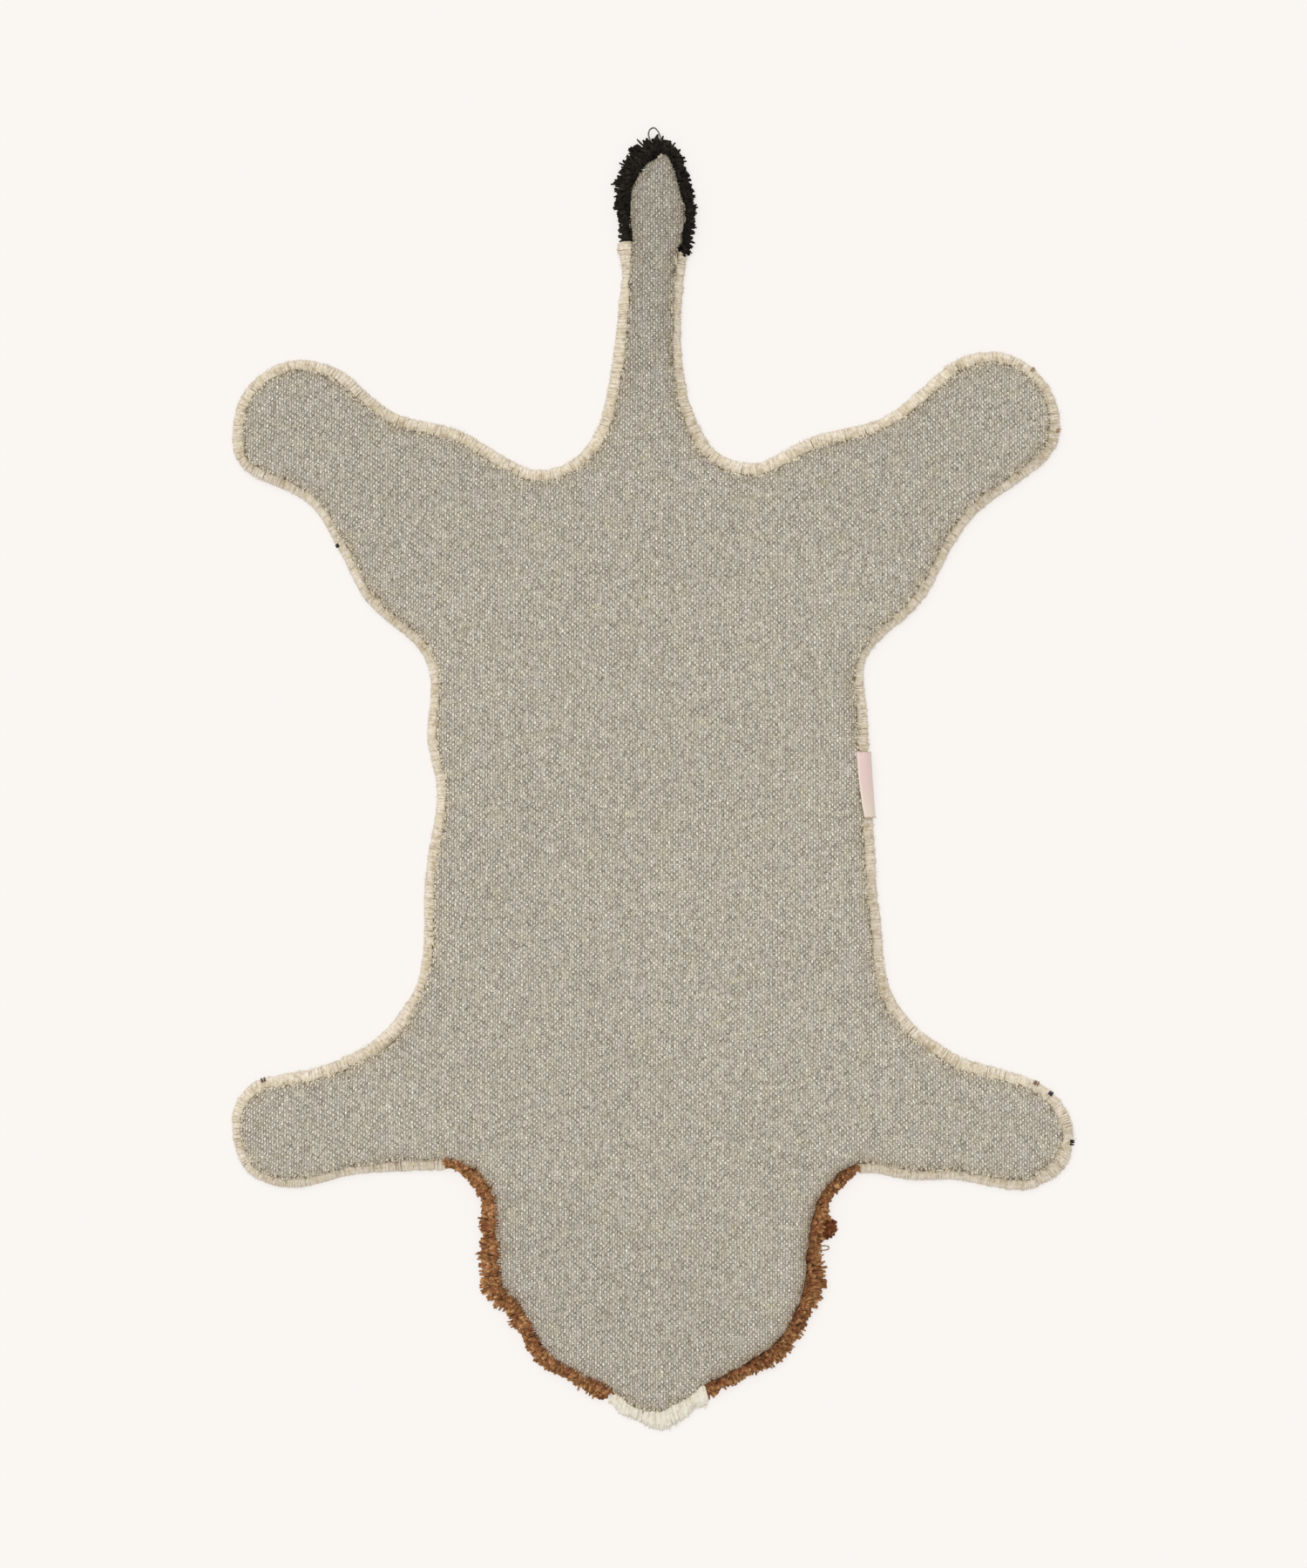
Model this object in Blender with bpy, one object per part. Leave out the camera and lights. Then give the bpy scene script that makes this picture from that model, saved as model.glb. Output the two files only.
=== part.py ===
"""Kids rug in the shape of an animal hide, lying face down on the floor.

A woven canvas is on top. The cut pile that was tufted through it hangs below, shows past the
canvas as a rim all round, and rests on z = 0. Four yarns make the pile: cream for the body and
legs, black for the tail's end, rust for the mane and off-white for the muzzle. A small tape is
sewn to the canvas at one flank.

Metres, +Z up. The tail points to +Y and the head to -Y. The origin is on the floor under the
middle of the rug's box.
"""

from collections import namedtuple
from math import dist, hypot, pi, sin
from random import Random

import bmesh
import bpy
import numpy as np
from mathutils import Color
from mathutils.geometry import delaunay_2d_cdt

MM = 0.001

# ---- Heights and thicknesses
PILE_HEIGHT = 10.5 * MM
CANVAS_THICKNESS = 1.6 * MM
CLEARANCE = 0.3 * MM

# The canvas rolls down a little towards its edge.
EDGE_DROP = 1.2 * MM
EDGE_ROLL = 9.0 * MM

# The rug lies in long low waves: their lengths along x and y, their phase and their height.
Wave = namedtuple("Wave", "along_x along_y phase height")
WAVES = (
    Wave(610 * MM, 370 * MM, 0.8, 0.55 * MM),
    Wave(-290 * MM, 230 * MM, 2.1, 0.35 * MM),
)

# ---- The outline on the floor, in millimetres, clockwise from the tail's tip as seen from above.
# A stretch is one yarn along the edge. rim is how far its pile shows past the canvas there.
Mark = namedtuple("Mark", "place x y rim")

TAIL_END_RIGHT = (
    Mark("tip", 1, 493, 11),
    Mark("shoulder", 17, 486, 10),
    Mark("upper side", 27, 466, 9.5),
    Mark("widest", 32, 437, 10),
    Mark("lower side", 30, 414, 10),
)
TAIL_RIGHT = (
    Mark("colour line", 26, 404, 8),
    Mark("narrowest", 21, 347, 7),
    Mark("root", 32, 278, 8.5),
    Mark("crotch, tail side", 52, 250, 9.5),
    Mark("crotch, low", 80, 244, 9.5),
    Mark("rump", 119, 262, 9),
)
HIND_LEG_RIGHT = (
    Mark("thigh, upper side", 179, 280, 8.5),
    Mark("paw, upper side", 236, 324, 9.5),
    Mark("paw, top", 272, 327, 9),
    Mark("paw, outer side", 304, 300, 7.5),
    Mark("paw, end", 310, 257, 8),
    Mark("paw, lower side", 289, 235, 7.5),
    Mark("hock", 244, 200, 7),
    Mark("thigh, lower side", 207, 138, 7.5),
)
FLANK_RIGHT = (
    Mark("groin", 164, 92, 9),
    Mark("waist", 165, 39, 9),
    Mark("middle", 168, -22, 9),
    Mark("ribs", 174, -106, 7.5),
    Mark("armpit", 185, -169, 7.5),
)
FORELEG_RIGHT = (
    Mark("upper side", 230, -210, 8),
    Mark("paw, upper side", 299, -234, 9),
    Mark("paw, upper corner", 322, -264, 9.5),
    Mark("paw, lower corner", 318, -292, 9),
    Mark("paw, lower side", 291, -314, 8),
    Mark("lower side", 229, -307, 6.5),
    Mark("shoulder", 198, -307, 7),
)
MANE_RIGHT = (
    Mark("colour line", 158, -302, 7),
    Mark("neck", 142, -317, 10),
    Mark("under the ear", 135, -331, 10.5),
    Mark("cheek, upper", 129, -359, 10),
    Mark("cheek, thick", 131, -384, 14.5),
    Mark("cheek, lower", 123, -414, 15),
    Mark("jaw", 103, -441, 13),
    Mark("chin", 58, -466, 9.5),
)
MUZZLE = (
    Mark("right colour line", 44, -472, 9),
    Mark("right", 26, -489, 11),
    Mark("nose", 4, -499, 12.5),
    Mark("left", -22, -490, 10.5),
)
MANE_LEFT = (
    Mark("colour line", -37, -476, 9),
    Mark("chin", -66, -464, 10.5),
    Mark("jaw", -94, -445, 12),
    Mark("cheek, lower", -113, -415, 14),
    Mark("cheek, thick", -132, -394, 17),
    Mark("cheek, upper", -134, -350, 13),
    Mark("neck", -137, -320, 13),
)
FORELEG_LEFT = (
    Mark("colour line", -149, -304, 9.5),
    Mark("lower side", -221, -302, 6),
    Mark("paw, lower side", -282, -313, 6.5),
    Mark("paw, lower corner", -313, -299, 6.5),
    Mark("paw, end", -323, -259, 7),
    Mark("paw, upper side", -309, -234, 8),
    Mark("upper side", -251, -219, 8),
    Mark("shoulder", -206, -194, 6.5),
)
FLANK_LEFT = (
    Mark("armpit", -179, -145, 7),
    Mark("ribs", -175, -78, 7),
    Mark("middle", -166, -9, 7),
    Mark("waist", -173, 30, 7),
    Mark("groin", -174, 92, 6.5),
)
HIND_LEG_LEFT = (
    Mark("thigh, lower side", -220, 137, 6.5),
    Mark("hock", -246, 185, 6.5),
    Mark("hock, lower", -265, 212, 6.5),
    Mark("paw, lower side", -318, 243, 7.5),
    Mark("paw, end", -319, 287, 8),
    Mark("paw, outer side", -303, 309, 7.5),
    Mark("paw, top", -276, 322, 8),
    Mark("paw, upper side", -244, 316, 8),
    Mark("thigh, upper side", -200, 282, 7.5),
)
TAIL_LEFT = (
    Mark("rump", -149, 268, 8.5),
    Mark("crotch, low", -88, 238, 8.5),
    Mark("crotch, tail side", -49, 259, 9),
    Mark("root", -30, 328, 9),
)
TAIL_END_LEFT = (
    Mark("colour line", -25, 412, 9),
    Mark("lower side", -28, 433, 10),
    Mark("widest", -29, 456, 12.5),
    Mark("upper side", -24, 474, 15.5),
    Mark("shoulder", -13, 488, 15),
)

STRETCHES = (
    ("tail_tip", TAIL_END_RIGHT),
    ("body", TAIL_RIGHT + HIND_LEG_RIGHT + FLANK_RIGHT + FORELEG_RIGHT),
    ("mane", MANE_RIGHT),
    ("muzzle", MUZZLE),
    ("mane", MANE_LEFT),
    ("body", FORELEG_LEFT + FLANK_LEFT + HIND_LEG_LEFT + TAIL_LEFT),
    ("tail_tip", TAIL_END_LEFT),
)

# ---- The pile's rim. Body pile is short and even, so its rim is a lumpy edge. The other yarns
# are longer and stand out in locks. pitch is from lock to lock, or from lump to lump. The ends
# vary by spread and the locks lean along the edge by lean, both as shares.
Yarn = namedtuple("Yarn", "colour roughness locks pitch spread lean")
YARNS = {
    "body": Yarn((0.84, 0.79, 0.68), 0.95, False, 13 * MM, 0.07, 0),
    "tail_tip": Yarn((0.13, 0.12, 0.11), 0.90, True, 6.2 * MM, 0.12, 0.3),
    "mane": Yarn((0.57, 0.33, 0.16), 0.92, True, 6.4 * MM, 0.14, 0.3),
    "muzzle": Yarn((0.88, 0.86, 0.79), 0.95, True, 4.8 * MM, 0.10, 0.2),
}

# The rim's section from the canvas edge to the floor, as shares of the rim and of the height.
Ring = namedtuple("Ring", "reach height")
PLAIN_RIM = (Ring(0, 1), Ring(0.55, 0.86), Ring(0.92, 0.52), Ring(1.0, 0.20), Ring(0.94, 0))
LOCK_RIDGE = (Ring(0, 1), Ring(0.55, 0.80), Ring(0.88, 0.46), Ring(1.03, 0.16), Ring(0.95, 0))
LOCK_VALLEY = (Ring(0, 1), Ring(0.34, 0.80), Ring(0.55, 0.45), Ring(0.64, 0.16), Ring(0.58, 0))

# Places where the pile stands out further, in millimetres.
Tuft = namedtuple("Tuft", "place x y spread reach")
TUFTS = (
    Tuft("matted knot on the mane", 140, -342, 11, 9),
    Tuft("spiky locks on the cheek", 132, -392, 12, 2.5),
    Tuft("tail, upper spike", -30, 461, 4, 4),
    Tuft("tail, middle spike", -30, 445, 4, 3.5),
    Tuft("tail, lower spike", -27, 416, 4, 4.5),
    Tuft("tail, tuft beside the tip", -8, 492, 5, 3),
)

# ---- The lines where one yarn meets the next across the rug, bowed towards the tail. The ground
# past a line holds the yarn that it is named for, and any yarn set into that one.
Cut = namedtuple("Cut", "yarn ground bow")
CUTS = (
    Cut("tail_tip", ("tail_tip",), 0),
    Cut("mane", ("mane", "muzzle"), 0),
    Cut("muzzle", ("muzzle",), 18 * MM),
)
CUT_STEP = 17 * MM

# ---- Spacing of the points inside the outline
RING_EVERY = 3
RING_GAP = 5 * MM
FIELD_STEP = 38 * MM
FIELD_GAP = 15 * MM

# ---- Label: a folded tape that lies over the canvas edge and the rim at the right flank
LABEL_TOP_Y = 18 * MM
LABEL_LENGTH = 47 * MM
LABEL_WIDTH = 12 * MM
LABEL_THICKNESS = 0.9 * MM
LABEL_LIFT = 0.6 * MM
LABEL_START_TOP = -2.6 * MM
LABEL_START_BOTTOM = 2.2 * MM
LABEL_REACH = 80 * MM
LABEL_ROWS = 9
LABEL_COLUMNS = 6
LABEL_COLOUR = (0.88, 0.76, 0.72)
CANVAS_COLOUR = (0.69, 0.66, 0.61)

Station = namedtuple("Station", "point inward along rim yarn rings")


def clear_scene():
    for item in list(bpy.data.objects):
        bpy.data.objects.remove(item, do_unlink=True)


# ---- Outline


def curve_point(p0, p1, p2, p3, share):
    """Centripetal Catmull-Rom curve from p1 to p2, at a share from 0 to 1."""
    t1 = dist(p0, p1) ** 0.5
    t2 = t1 + dist(p1, p2) ** 0.5
    t3 = t2 + dist(p2, p3) ** 0.5
    t = t1 + (t2 - t1) * share
    a1 = ((t1 - t) * p0 + t * p1) / t1
    a2 = ((t2 - t) * p1 + (t - t1) * p2) / (t2 - t1)
    a3 = ((t3 - t) * p2 + (t - t2) * p3) / (t3 - t2)
    b1 = ((t2 - t) * a1 + t * a2) / t2
    b2 = ((t3 - t) * a2 + (t - t1) * a3) / (t3 - t1)
    return ((t2 - t) * b1 + (t - t1) * b2) / (t2 - t1)


def trace_outline():
    """Points along the curve through the marks, each with its rim, yarn and step number."""
    marks = [(mark, yarn) for yarn, stretch in STRETCHES for mark in stretch]
    spots = [np.array((mark.x, mark.y)) * MM for mark, _ in marks]
    traced = []
    for index, (mark, yarn) in enumerate(marks):
        following = (index + 1) % len(marks)
        around = [spots[(index + shift) % len(marks)] for shift in (-1, 0, 1, 2)]
        steps = max(1, round(dist(around[1], around[2]) / YARNS[yarn].pitch))
        if YARNS[yarn].locks:
            steps *= 2
        starts_yarn = marks[index - 1][1] != yarn
        for step in range(steps):
            share = step / steps
            rim = (mark.rim * (1 - share) + marks[following][0].rim * share) * MM
            corner = starts_yarn and step == 0
            traced.append((curve_point(*around, share), rim, yarn, step, corner))
    return traced


def tuft_reach(point):
    reach = 0
    for tuft in TUFTS:
        away = hypot(point[0] / MM - tuft.x, point[1] / MM - tuft.y) / tuft.spread
        reach = max(reach, tuft.reach * MM * (1 - away**2))
    return reach


def lay_out_stations():
    """Give each traced point its inward direction and the section of pile that stands there."""
    chance = Random(7)
    traced = trace_outline()
    stations = []
    for index, (point, rim, yarn, step, corner) in enumerate(traced):
        along = traced[(index + 1) % len(traced)][0] - traced[index - 1][0]
        along = along / hypot(*along)
        inward = np.array((along[1], -along[0]))
        kind = YARNS[yarn]
        scale = 1 + chance.uniform(-kind.spread, kind.spread)
        lean = chance.uniform(-kind.lean, kind.lean) * kind.pitch
        base = point + inward * rim
        if corner or not kind.locks:
            section, scale, lean = PLAIN_RIM, 1 if corner else scale, 0
        elif step % 2:
            section = LOCK_RIDGE
            rim = rim + tuft_reach(point)
        else:
            section, scale, lean = LOCK_VALLEY, 1, 0
        rings = [
            (base - inward * rim * scale * ring.reach + along * lean * ring.reach, ring.height)
            for ring in section
        ]
        stations.append(Station(base, inward, along, rim, yarn, rings))
    return stations


# ---- The field of points that the canvas and the pile's top share


def lie(x, y):
    """Height of the pile's top where the canvas lies flat."""
    swell = sum(
        wave.height * sin(2 * pi * (x / wave.along_x + y / wave.along_y) + wave.phase)
        for wave in WAVES
    )
    return PILE_HEIGHT + swell


def far_enough(points, candidate, gap):
    return np.min(np.hypot(*(np.array(points) - candidate).T)) > gap


def inside(point, polygon):
    """Even-odd rule."""
    x, y = point
    crossings = 0
    for (ax, ay), (bx, by) in zip(polygon, np.roll(polygon, -1, axis=0)):
        if (ay > y) != (by > y) and x < ax + (y - ay) * (bx - ax) / (by - ay):
            crossings += 1
    return crossings % 2 == 1


def cut_ends(stations, ground):
    """Stations where a ground's own edge begins and where it ends."""
    owned = [station.yarn in ground for station in stations]
    first = next(index for index, own in enumerate(owned) if own and not owned[index - 1])
    last = next(index for index, own in enumerate(owned) if not own and owned[index - 1])
    return first, last


def cut_line(start, end, bow):
    """Points from start to end, bowed towards the tail."""
    steps = round(dist(start, end) / CUT_STEP)
    shares = [step / steps for step in range(steps + 1)]
    rise = np.array((0, 4 * bow))
    return [start + (end - start) * share + rise * share * (1 - share) for share in shares]


def gather_field(stations):
    """All points seen from above, their drop below the waves, and the cuts between yarns."""
    points = [station.point for station in stations]
    edge = np.array(points)
    drops = [EDGE_DROP] * len(points)
    cuts = {}
    ring = [station.point + station.inward * EDGE_ROLL for station in stations]
    for cut in CUTS:
        first, last = cut_ends(stations, cut.ground)
        line = cut_line(ring[first], ring[last], cut.bow)
        cuts[cut.yarn] = [first, *range(len(points), len(points) + len(line)), last]
        points += line
    for candidate in ring[::RING_EVERY]:
        if inside(candidate, edge) and far_enough(points, candidate, RING_GAP):
            points.append(candidate)
    low, high = edge.min(axis=0), edge.max(axis=0)
    rows = int((high[1] - low[1]) / (FIELD_STEP * 0.75**0.5))
    columns = int((high[0] - low[0]) / FIELD_STEP)
    for row in range(rows + 1):
        for column in range(columns + 2):
            candidate = low + FIELD_STEP * np.array((column - 0.5 * (row % 2), row * 0.75**0.5))
            if inside(candidate, edge) and far_enough(points, candidate, FIELD_GAP):
                points.append(candidate)
    drops += [0] * (len(points) - len(drops))
    return points, drops, cuts


def triangulate(points, edge_count, cuts):
    """Triangles inside the outline that keep to the outline and to every cut."""
    outline = [(index, (index + 1) % edge_count) for index in range(edge_count)]
    lines = [pair for cut in cuts.values() for pair in zip(cut, cut[1:])]
    made = delaunay_2d_cdt([tuple(point) for point in points], outline + lines, [], 1, 1e-7)
    origin = [sources[0] for sources in made[3]]
    return [tuple(origin[corner] for corner in face) for face in made[2]]


def share_out(triangles, points, edge_count, cuts):
    """Give each triangle to the yarn whose ground its middle lies on."""
    grounds = {}
    for yarn, cut in cuts.items():
        first, last = cut[0], cut[-1]
        stretch = [(first + step) % edge_count for step in range((last - first) % edge_count)]
        grounds[yarn] = np.array([points[index] for index in stretch + cut[:0:-1]])
    shares = {yarn: [] for yarn in YARNS}
    for triangle in triangles:
        middle = sum(points[corner] for corner in triangle) / 3
        owner = "body"
        for yarn, ground in grounds.items():
            if inside(middle, ground):
                owner = yarn
        shares[owner].append(triangle)
    return shares


def boundary_loop(triangles):
    """The triangles' outer edge as one loop of point numbers."""
    sides = {(a, b) for t in triangles for a, b in (t[:2], t[1:], (t[2], t[0]))}
    following = {a: b for a, b in sides if (b, a) not in sides}
    loop = [min(following)]
    while following[loop[-1]] != loop[0]:
        loop.append(following[loop[-1]])
    return loop


# ---- Solids


def add_object(name, corners, faces, colour, roughness):
    mesh = bpy.data.meshes.new(name)
    mesh.from_pydata(corners, [], faces)
    shell = bmesh.new()
    shell.from_mesh(mesh)
    bmesh.ops.triangulate(shell, faces=[face for face in shell.faces if len(face.verts) > 3])
    bmesh.ops.recalc_face_normals(shell, faces=shell.faces)
    shell.to_mesh(mesh)
    shell.free()
    mesh.shade_smooth()
    mesh.set_sharp_from_angle(angle=pi / 5)
    material = bpy.data.materials.new(name)
    material.use_nodes = True
    shader = material.node_tree.nodes["Principled BSDF"]
    shader.inputs["Base Color"].default_value = (*Color(colour).from_srgb_to_scene_linear(), 1)
    shader.inputs["Roughness"].default_value = roughness
    shader.inputs["Metallic"].default_value = 0
    mesh.materials.append(material)
    item = bpy.data.objects.new(name, mesh)
    bpy.context.scene.collection.objects.link(item)
    return item


def wall(loop, columns):
    """Triangles between neighbouring columns. Slabs that meet split them the same way."""
    faces = []
    for a, b in zip(loop, loop[1:] + loop[:1]):
        for lower in range(len(columns[a]) - 1):
            upper_pair = (columns[a][lower], columns[b][lower])
            lower_pair = (columns[a][lower + 1], columns[b][lower + 1])
            if a < b:
                faces.append((*upper_pair, lower_pair[1]))
                faces.append((upper_pair[0], lower_pair[1], lower_pair[0]))
            else:
                faces.append((*upper_pair, lower_pair[0]))
                faces.append((upper_pair[1], lower_pair[1], lower_pair[0]))
    return faces


def cut_shifts(yarn, points, cuts):
    """Half the clearance, away from each cut, for every point that lies on one."""
    shifts = {}
    for beyond, cut in cuts.items():
        side = 1 if yarn == beyond else -1
        for index, point in enumerate(cut):
            before = points[cut[max(0, index - 1)]]
            after = points[cut[min(index + 1, len(cut) - 1)]]
            run = (after - before) / dist(after, before)
            shifts[point] = side * CLEARANCE / 2 * np.array((-run[1], run[0]))
    return shifts


def make_pile(yarn, triangles, points, drops, stations, cuts):
    """One yarn's pile: the shared top, a rim that curves out and down, and a flat foot."""
    loop = boundary_loop(triangles)
    shifts = cut_shifts(yarn, points, cuts)
    corners, columns = [], {}
    for index in sorted({corner for triangle in triangles for corner in triangle}):
        x, y = points[index]
        top = lie(x, y) - drops[index]
        rings = [((x, y), ring.height) for ring in PLAIN_RIM]
        if index < len(stations):
            rings = stations[index].rings
        if index not in loop:
            rings = rings[:1]
        shift = shifts.get(index, (0, 0))
        columns[index] = list(range(len(corners), len(corners) + len(rings)))
        corners += [(*(np.array(place) + shift), height * top) for place, height in rings]
    faces = [tuple(columns[corner][0] for corner in triangle) for triangle in triangles]
    faces += wall(loop, columns)
    faces.append([columns[index][-1] for index in loop])
    return add_object("pile_" + yarn, corners, faces, YARNS[yarn].colour, YARNS[yarn].roughness)


def make_canvas(triangles, points, drops, edge_count):
    """The woven backing: one sheet over all the pile."""
    under = [(x, y, lie(x, y) - drop + CLEARANCE) for (x, y), drop in zip(points, drops)]
    over = [(x, y, z + CANVAS_THICKNESS) for x, y, z in under]
    lift = len(points)
    faces = list(triangles)
    faces += [tuple(corner + lift for corner in triangle) for triangle in triangles]
    for index in range(edge_count):
        following = (index + 1) % edge_count
        faces.append((index, following, following + lift))
        faces.append((index, following + lift, index + lift))
    return add_object("backing_canvas", under + over, faces, CANVAS_COLOUR, 0.95)


# ---- Label


def over_rim(station, distance):
    """Reach past the canvas edge and height, at a distance along the surface from that edge."""
    top = lie(*station.point) - EDGE_DROP
    canvas = top + CLEARANCE + CANVAS_THICKNESS
    if distance < 0:
        return distance, canvas - EDGE_DROP * distance / EDGE_ROLL
    reaches = [0] + [ring.reach * station.rim for ring in PLAIN_RIM[1:4]]
    heights = [canvas] + [ring.height * top for ring in PLAIN_RIM[1:4]]
    lengths = np.append(0, np.cumsum(np.hypot(np.diff(reaches), np.diff(heights))))
    return np.interp(distance, lengths, reaches), np.interp(distance, lengths, heights)


def tape_section(station, start):
    """One line across the tape, as reach, height and the direction in which its cloth faces."""
    steps = [start + LABEL_WIDTH * column / (LABEL_COLUMNS - 1) for column in range(LABEL_COLUMNS)]
    line = [over_rim(station, step) for step in steps]
    section = []
    for index, (reach, height) in enumerate(line):
        before, after = line[max(0, index - 1)], line[min(index + 1, LABEL_COLUMNS - 1)]
        run = hypot(after[0] - before[0], after[1] - before[1])
        out = (before[1] - after[1]) / run, (after[0] - before[0]) / run
        section.append((reach, height, out))
    return section


def slab_faces(rows, columns):
    """Faces of a closed slab whose lower grid of points is followed by its upper one."""
    lift = rows * columns
    faces = []
    for first in (row * columns + column for row in range(rows - 1) for column in range(columns - 1)):
        quad = (first, first + 1, first + 1 + columns, first + columns)
        faces.append(quad)
        faces.append(tuple(corner + lift for corner in quad))
    rim = list(range(columns)) + [row * columns - 1 for row in range(2, rows + 1)]
    rim += [lift - column for column in range(2, columns + 1)]
    rim += [row * columns for row in range(rows - 2, 0, -1)]
    faces += [(a, b, b + lift, a + lift) for a, b in zip(rim, rim[1:] + rim[:1])]
    return faces


def make_label(stations):
    """A tape over the edge: partly on the canvas at its top, slipping down over the rim below."""
    flank = [each for each in stations if each.point[0] > 0 and abs(each.point[1]) < LABEL_REACH]
    flank.sort(key=lambda each: each.point[1])
    edge_x, edge_y = zip(*(each.point for each in flank))
    under, over = [], []
    for row in range(LABEL_ROWS):
        share = row / (LABEL_ROWS - 1)
        y = LABEL_TOP_Y - LABEL_LENGTH * share
        x = np.interp(y, edge_y, edge_x)
        nearest = min(flank, key=lambda each: abs(each.point[1] - y))
        start = LABEL_START_TOP + (LABEL_START_BOTTOM - LABEL_START_TOP) * share**2
        for reach, height, out in tape_section(nearest, start):
            for side, lift in ((under, LABEL_LIFT), (over, LABEL_LIFT + LABEL_THICKNESS)):
                side.append((x + reach + out[0] * lift, y, height + out[1] * lift))
    faces = slab_faces(LABEL_ROWS, LABEL_COLUMNS)
    return add_object("label", under + over, faces, LABEL_COLOUR, 0.8)


def centre_on_origin(items):
    """Move the whole rug so that the middle of its box is over the origin."""
    corners = np.array([vertex.co for item in items for vertex in item.data.vertices])
    middle = (corners.min(axis=0) + corners.max(axis=0)) / 2
    for item in items:
        for vertex in item.data.vertices:
            vertex.co.x -= middle[0]
            vertex.co.y -= middle[1]


clear_scene()
edge_stations = lay_out_stations()
edge_total = len(edge_stations)
field, field_drops, yarn_cuts = gather_field(edge_stations)
field_triangles = triangulate(field, edge_total, yarn_cuts)
rug = [make_canvas(field_triangles, field, field_drops, edge_total)]
for yarn_name, own in share_out(field_triangles, field, edge_total, yarn_cuts).items():
    rug.append(make_pile(yarn_name, own, field, field_drops, edge_stations, yarn_cuts))
rug.append(make_label(edge_stations))
centre_on_origin(rug)
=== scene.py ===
"""The looks of a hide shaped kids rug that lies with its woven backing up.

The sections follow the rug as it is put together: the canvas backing, the pile tufted through
it in four yarns, the claws and loose yarns in that pile, and the label. The floor, the light
and the camera come last. Metres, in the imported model's own frame: +Y to the tail, +Z up.
"""

from collections import namedtuple

import bpy
import numpy as np
from mathutils import Color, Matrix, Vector
from mathutils.geometry import delaunay_2d_cdt


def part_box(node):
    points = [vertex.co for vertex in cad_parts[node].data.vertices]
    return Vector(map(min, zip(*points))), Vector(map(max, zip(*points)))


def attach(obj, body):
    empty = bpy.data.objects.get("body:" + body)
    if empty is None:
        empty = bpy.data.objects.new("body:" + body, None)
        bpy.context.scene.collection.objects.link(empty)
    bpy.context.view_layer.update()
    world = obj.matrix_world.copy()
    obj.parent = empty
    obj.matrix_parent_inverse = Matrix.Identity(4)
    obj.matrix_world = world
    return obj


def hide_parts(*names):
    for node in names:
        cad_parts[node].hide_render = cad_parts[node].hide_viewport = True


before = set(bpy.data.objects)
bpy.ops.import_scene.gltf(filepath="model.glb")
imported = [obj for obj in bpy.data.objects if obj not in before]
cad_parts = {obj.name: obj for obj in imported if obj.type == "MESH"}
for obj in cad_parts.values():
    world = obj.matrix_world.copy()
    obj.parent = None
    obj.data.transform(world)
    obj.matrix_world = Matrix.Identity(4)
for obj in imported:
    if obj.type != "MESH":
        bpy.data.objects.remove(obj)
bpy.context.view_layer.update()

MM = 0.001

# ---- The backing canvas
# One piece of coarse canvas in the outline of the hide, glued over the back of the tufting.
# Its cut edge is turned down, so the cloth rolls over where the pile comes out from under it.

CANVAS_THICKNESS = 1.4 * MM
EDGE_SPACING = 1.0 * MM
CLOTH_STEP = 6.0 * MM
CLOTH_MARGIN = 8.0 * MM
CLOTH_UNEVEN = 0.05 * MM
LIE_SPREAD = 22.0 * MM
EDGE_DROP = 1.2 * MM
EDGE_SLOPE = 9.0 * MM
LIP_RADIUS = 0.9 * MM
# How far the rings of points lie inside the edge, and the length and height of its ripples, in
# millimetres.
INSETS = (0.0, 0.35, 0.8, 1.5, 3.0, 5.5)
RIPPLES = ((9, 0.22), (14, 0.27), (23, 0.30), (41, 0.24))
WARP_PITCH = 1.95 * MM
WEFT_PITCH = 3.8 * MM
REED_PITCH = 3.35 * MM
BOW_APEX = 67 * MM
WEFT_BOW = 0.56
# Where the canvas is cut wide, or short where out is below 0, in millimetres.
Cut = namedtuple("Cut", "place x y spread out")
CUTS = (
    Cut("right flank, over the label", 161, 92, 48, 3.2),
    Cut("right flank, under the label", 158, -20, 42, 1.6),
    Cut("right forepaw, upper edge", 288, -243, 34, 1.4),
    Cut("right hind paw, upper edge", 271, 312, 40, 1.5),
    Cut("right hind paw, lower edge", 278, 242, 30, 0.8),
    Cut("tail, right side", 16, 368, 44, 1.4),
    Cut("tail, left side", -17, 380, 40, 1.5),
    Cut("left of the tail's root", -28, 298, 30, 1.0),
    Cut("right forepaw, lower corner", 303, -287, 13, -2.0),
    Cut("left elbow", -194, -181, 26, -2.4),
    Cut("left foreleg, upper edge", -207, -203, 14, -2.2),
    Cut("tail's tip, left of the peak", -1, 486, 9, -5.0),
    Cut("tail's tip, upper left", -11, 470, 14, -1.0),
    Cut("tail's tip, right of the peak", 12, 484, 8, 1.6),
    Cut("tail's tip, right", 25, 431, 22, 2.6),
    Cut("muzzle", 8, -480, 24, -2.4),
)


def corners_of(node):
    """A CAD node's points, one row for each corner of each triangle."""
    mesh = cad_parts[node].data
    spots = np.empty(len(mesh.vertices) * 3)
    mesh.vertices.foreach_get("co", spots)
    order = np.empty(len(mesh.loops), int)
    mesh.loops.foreach_get("vertex_index", order)
    return spots.reshape(-1, 3)[order].reshape(-1, 3, 3)


def joined(corners):
    """The separate points among the corners of triangles, and each triangle's three numbers."""
    spots = corners.reshape(-1, 3)
    places = np.round(spots / MM, 2)
    _, first, number = np.unique(places, axis=0, return_index=True, return_inverse=True)
    return spots[first], number.reshape(-1, 3)


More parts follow.
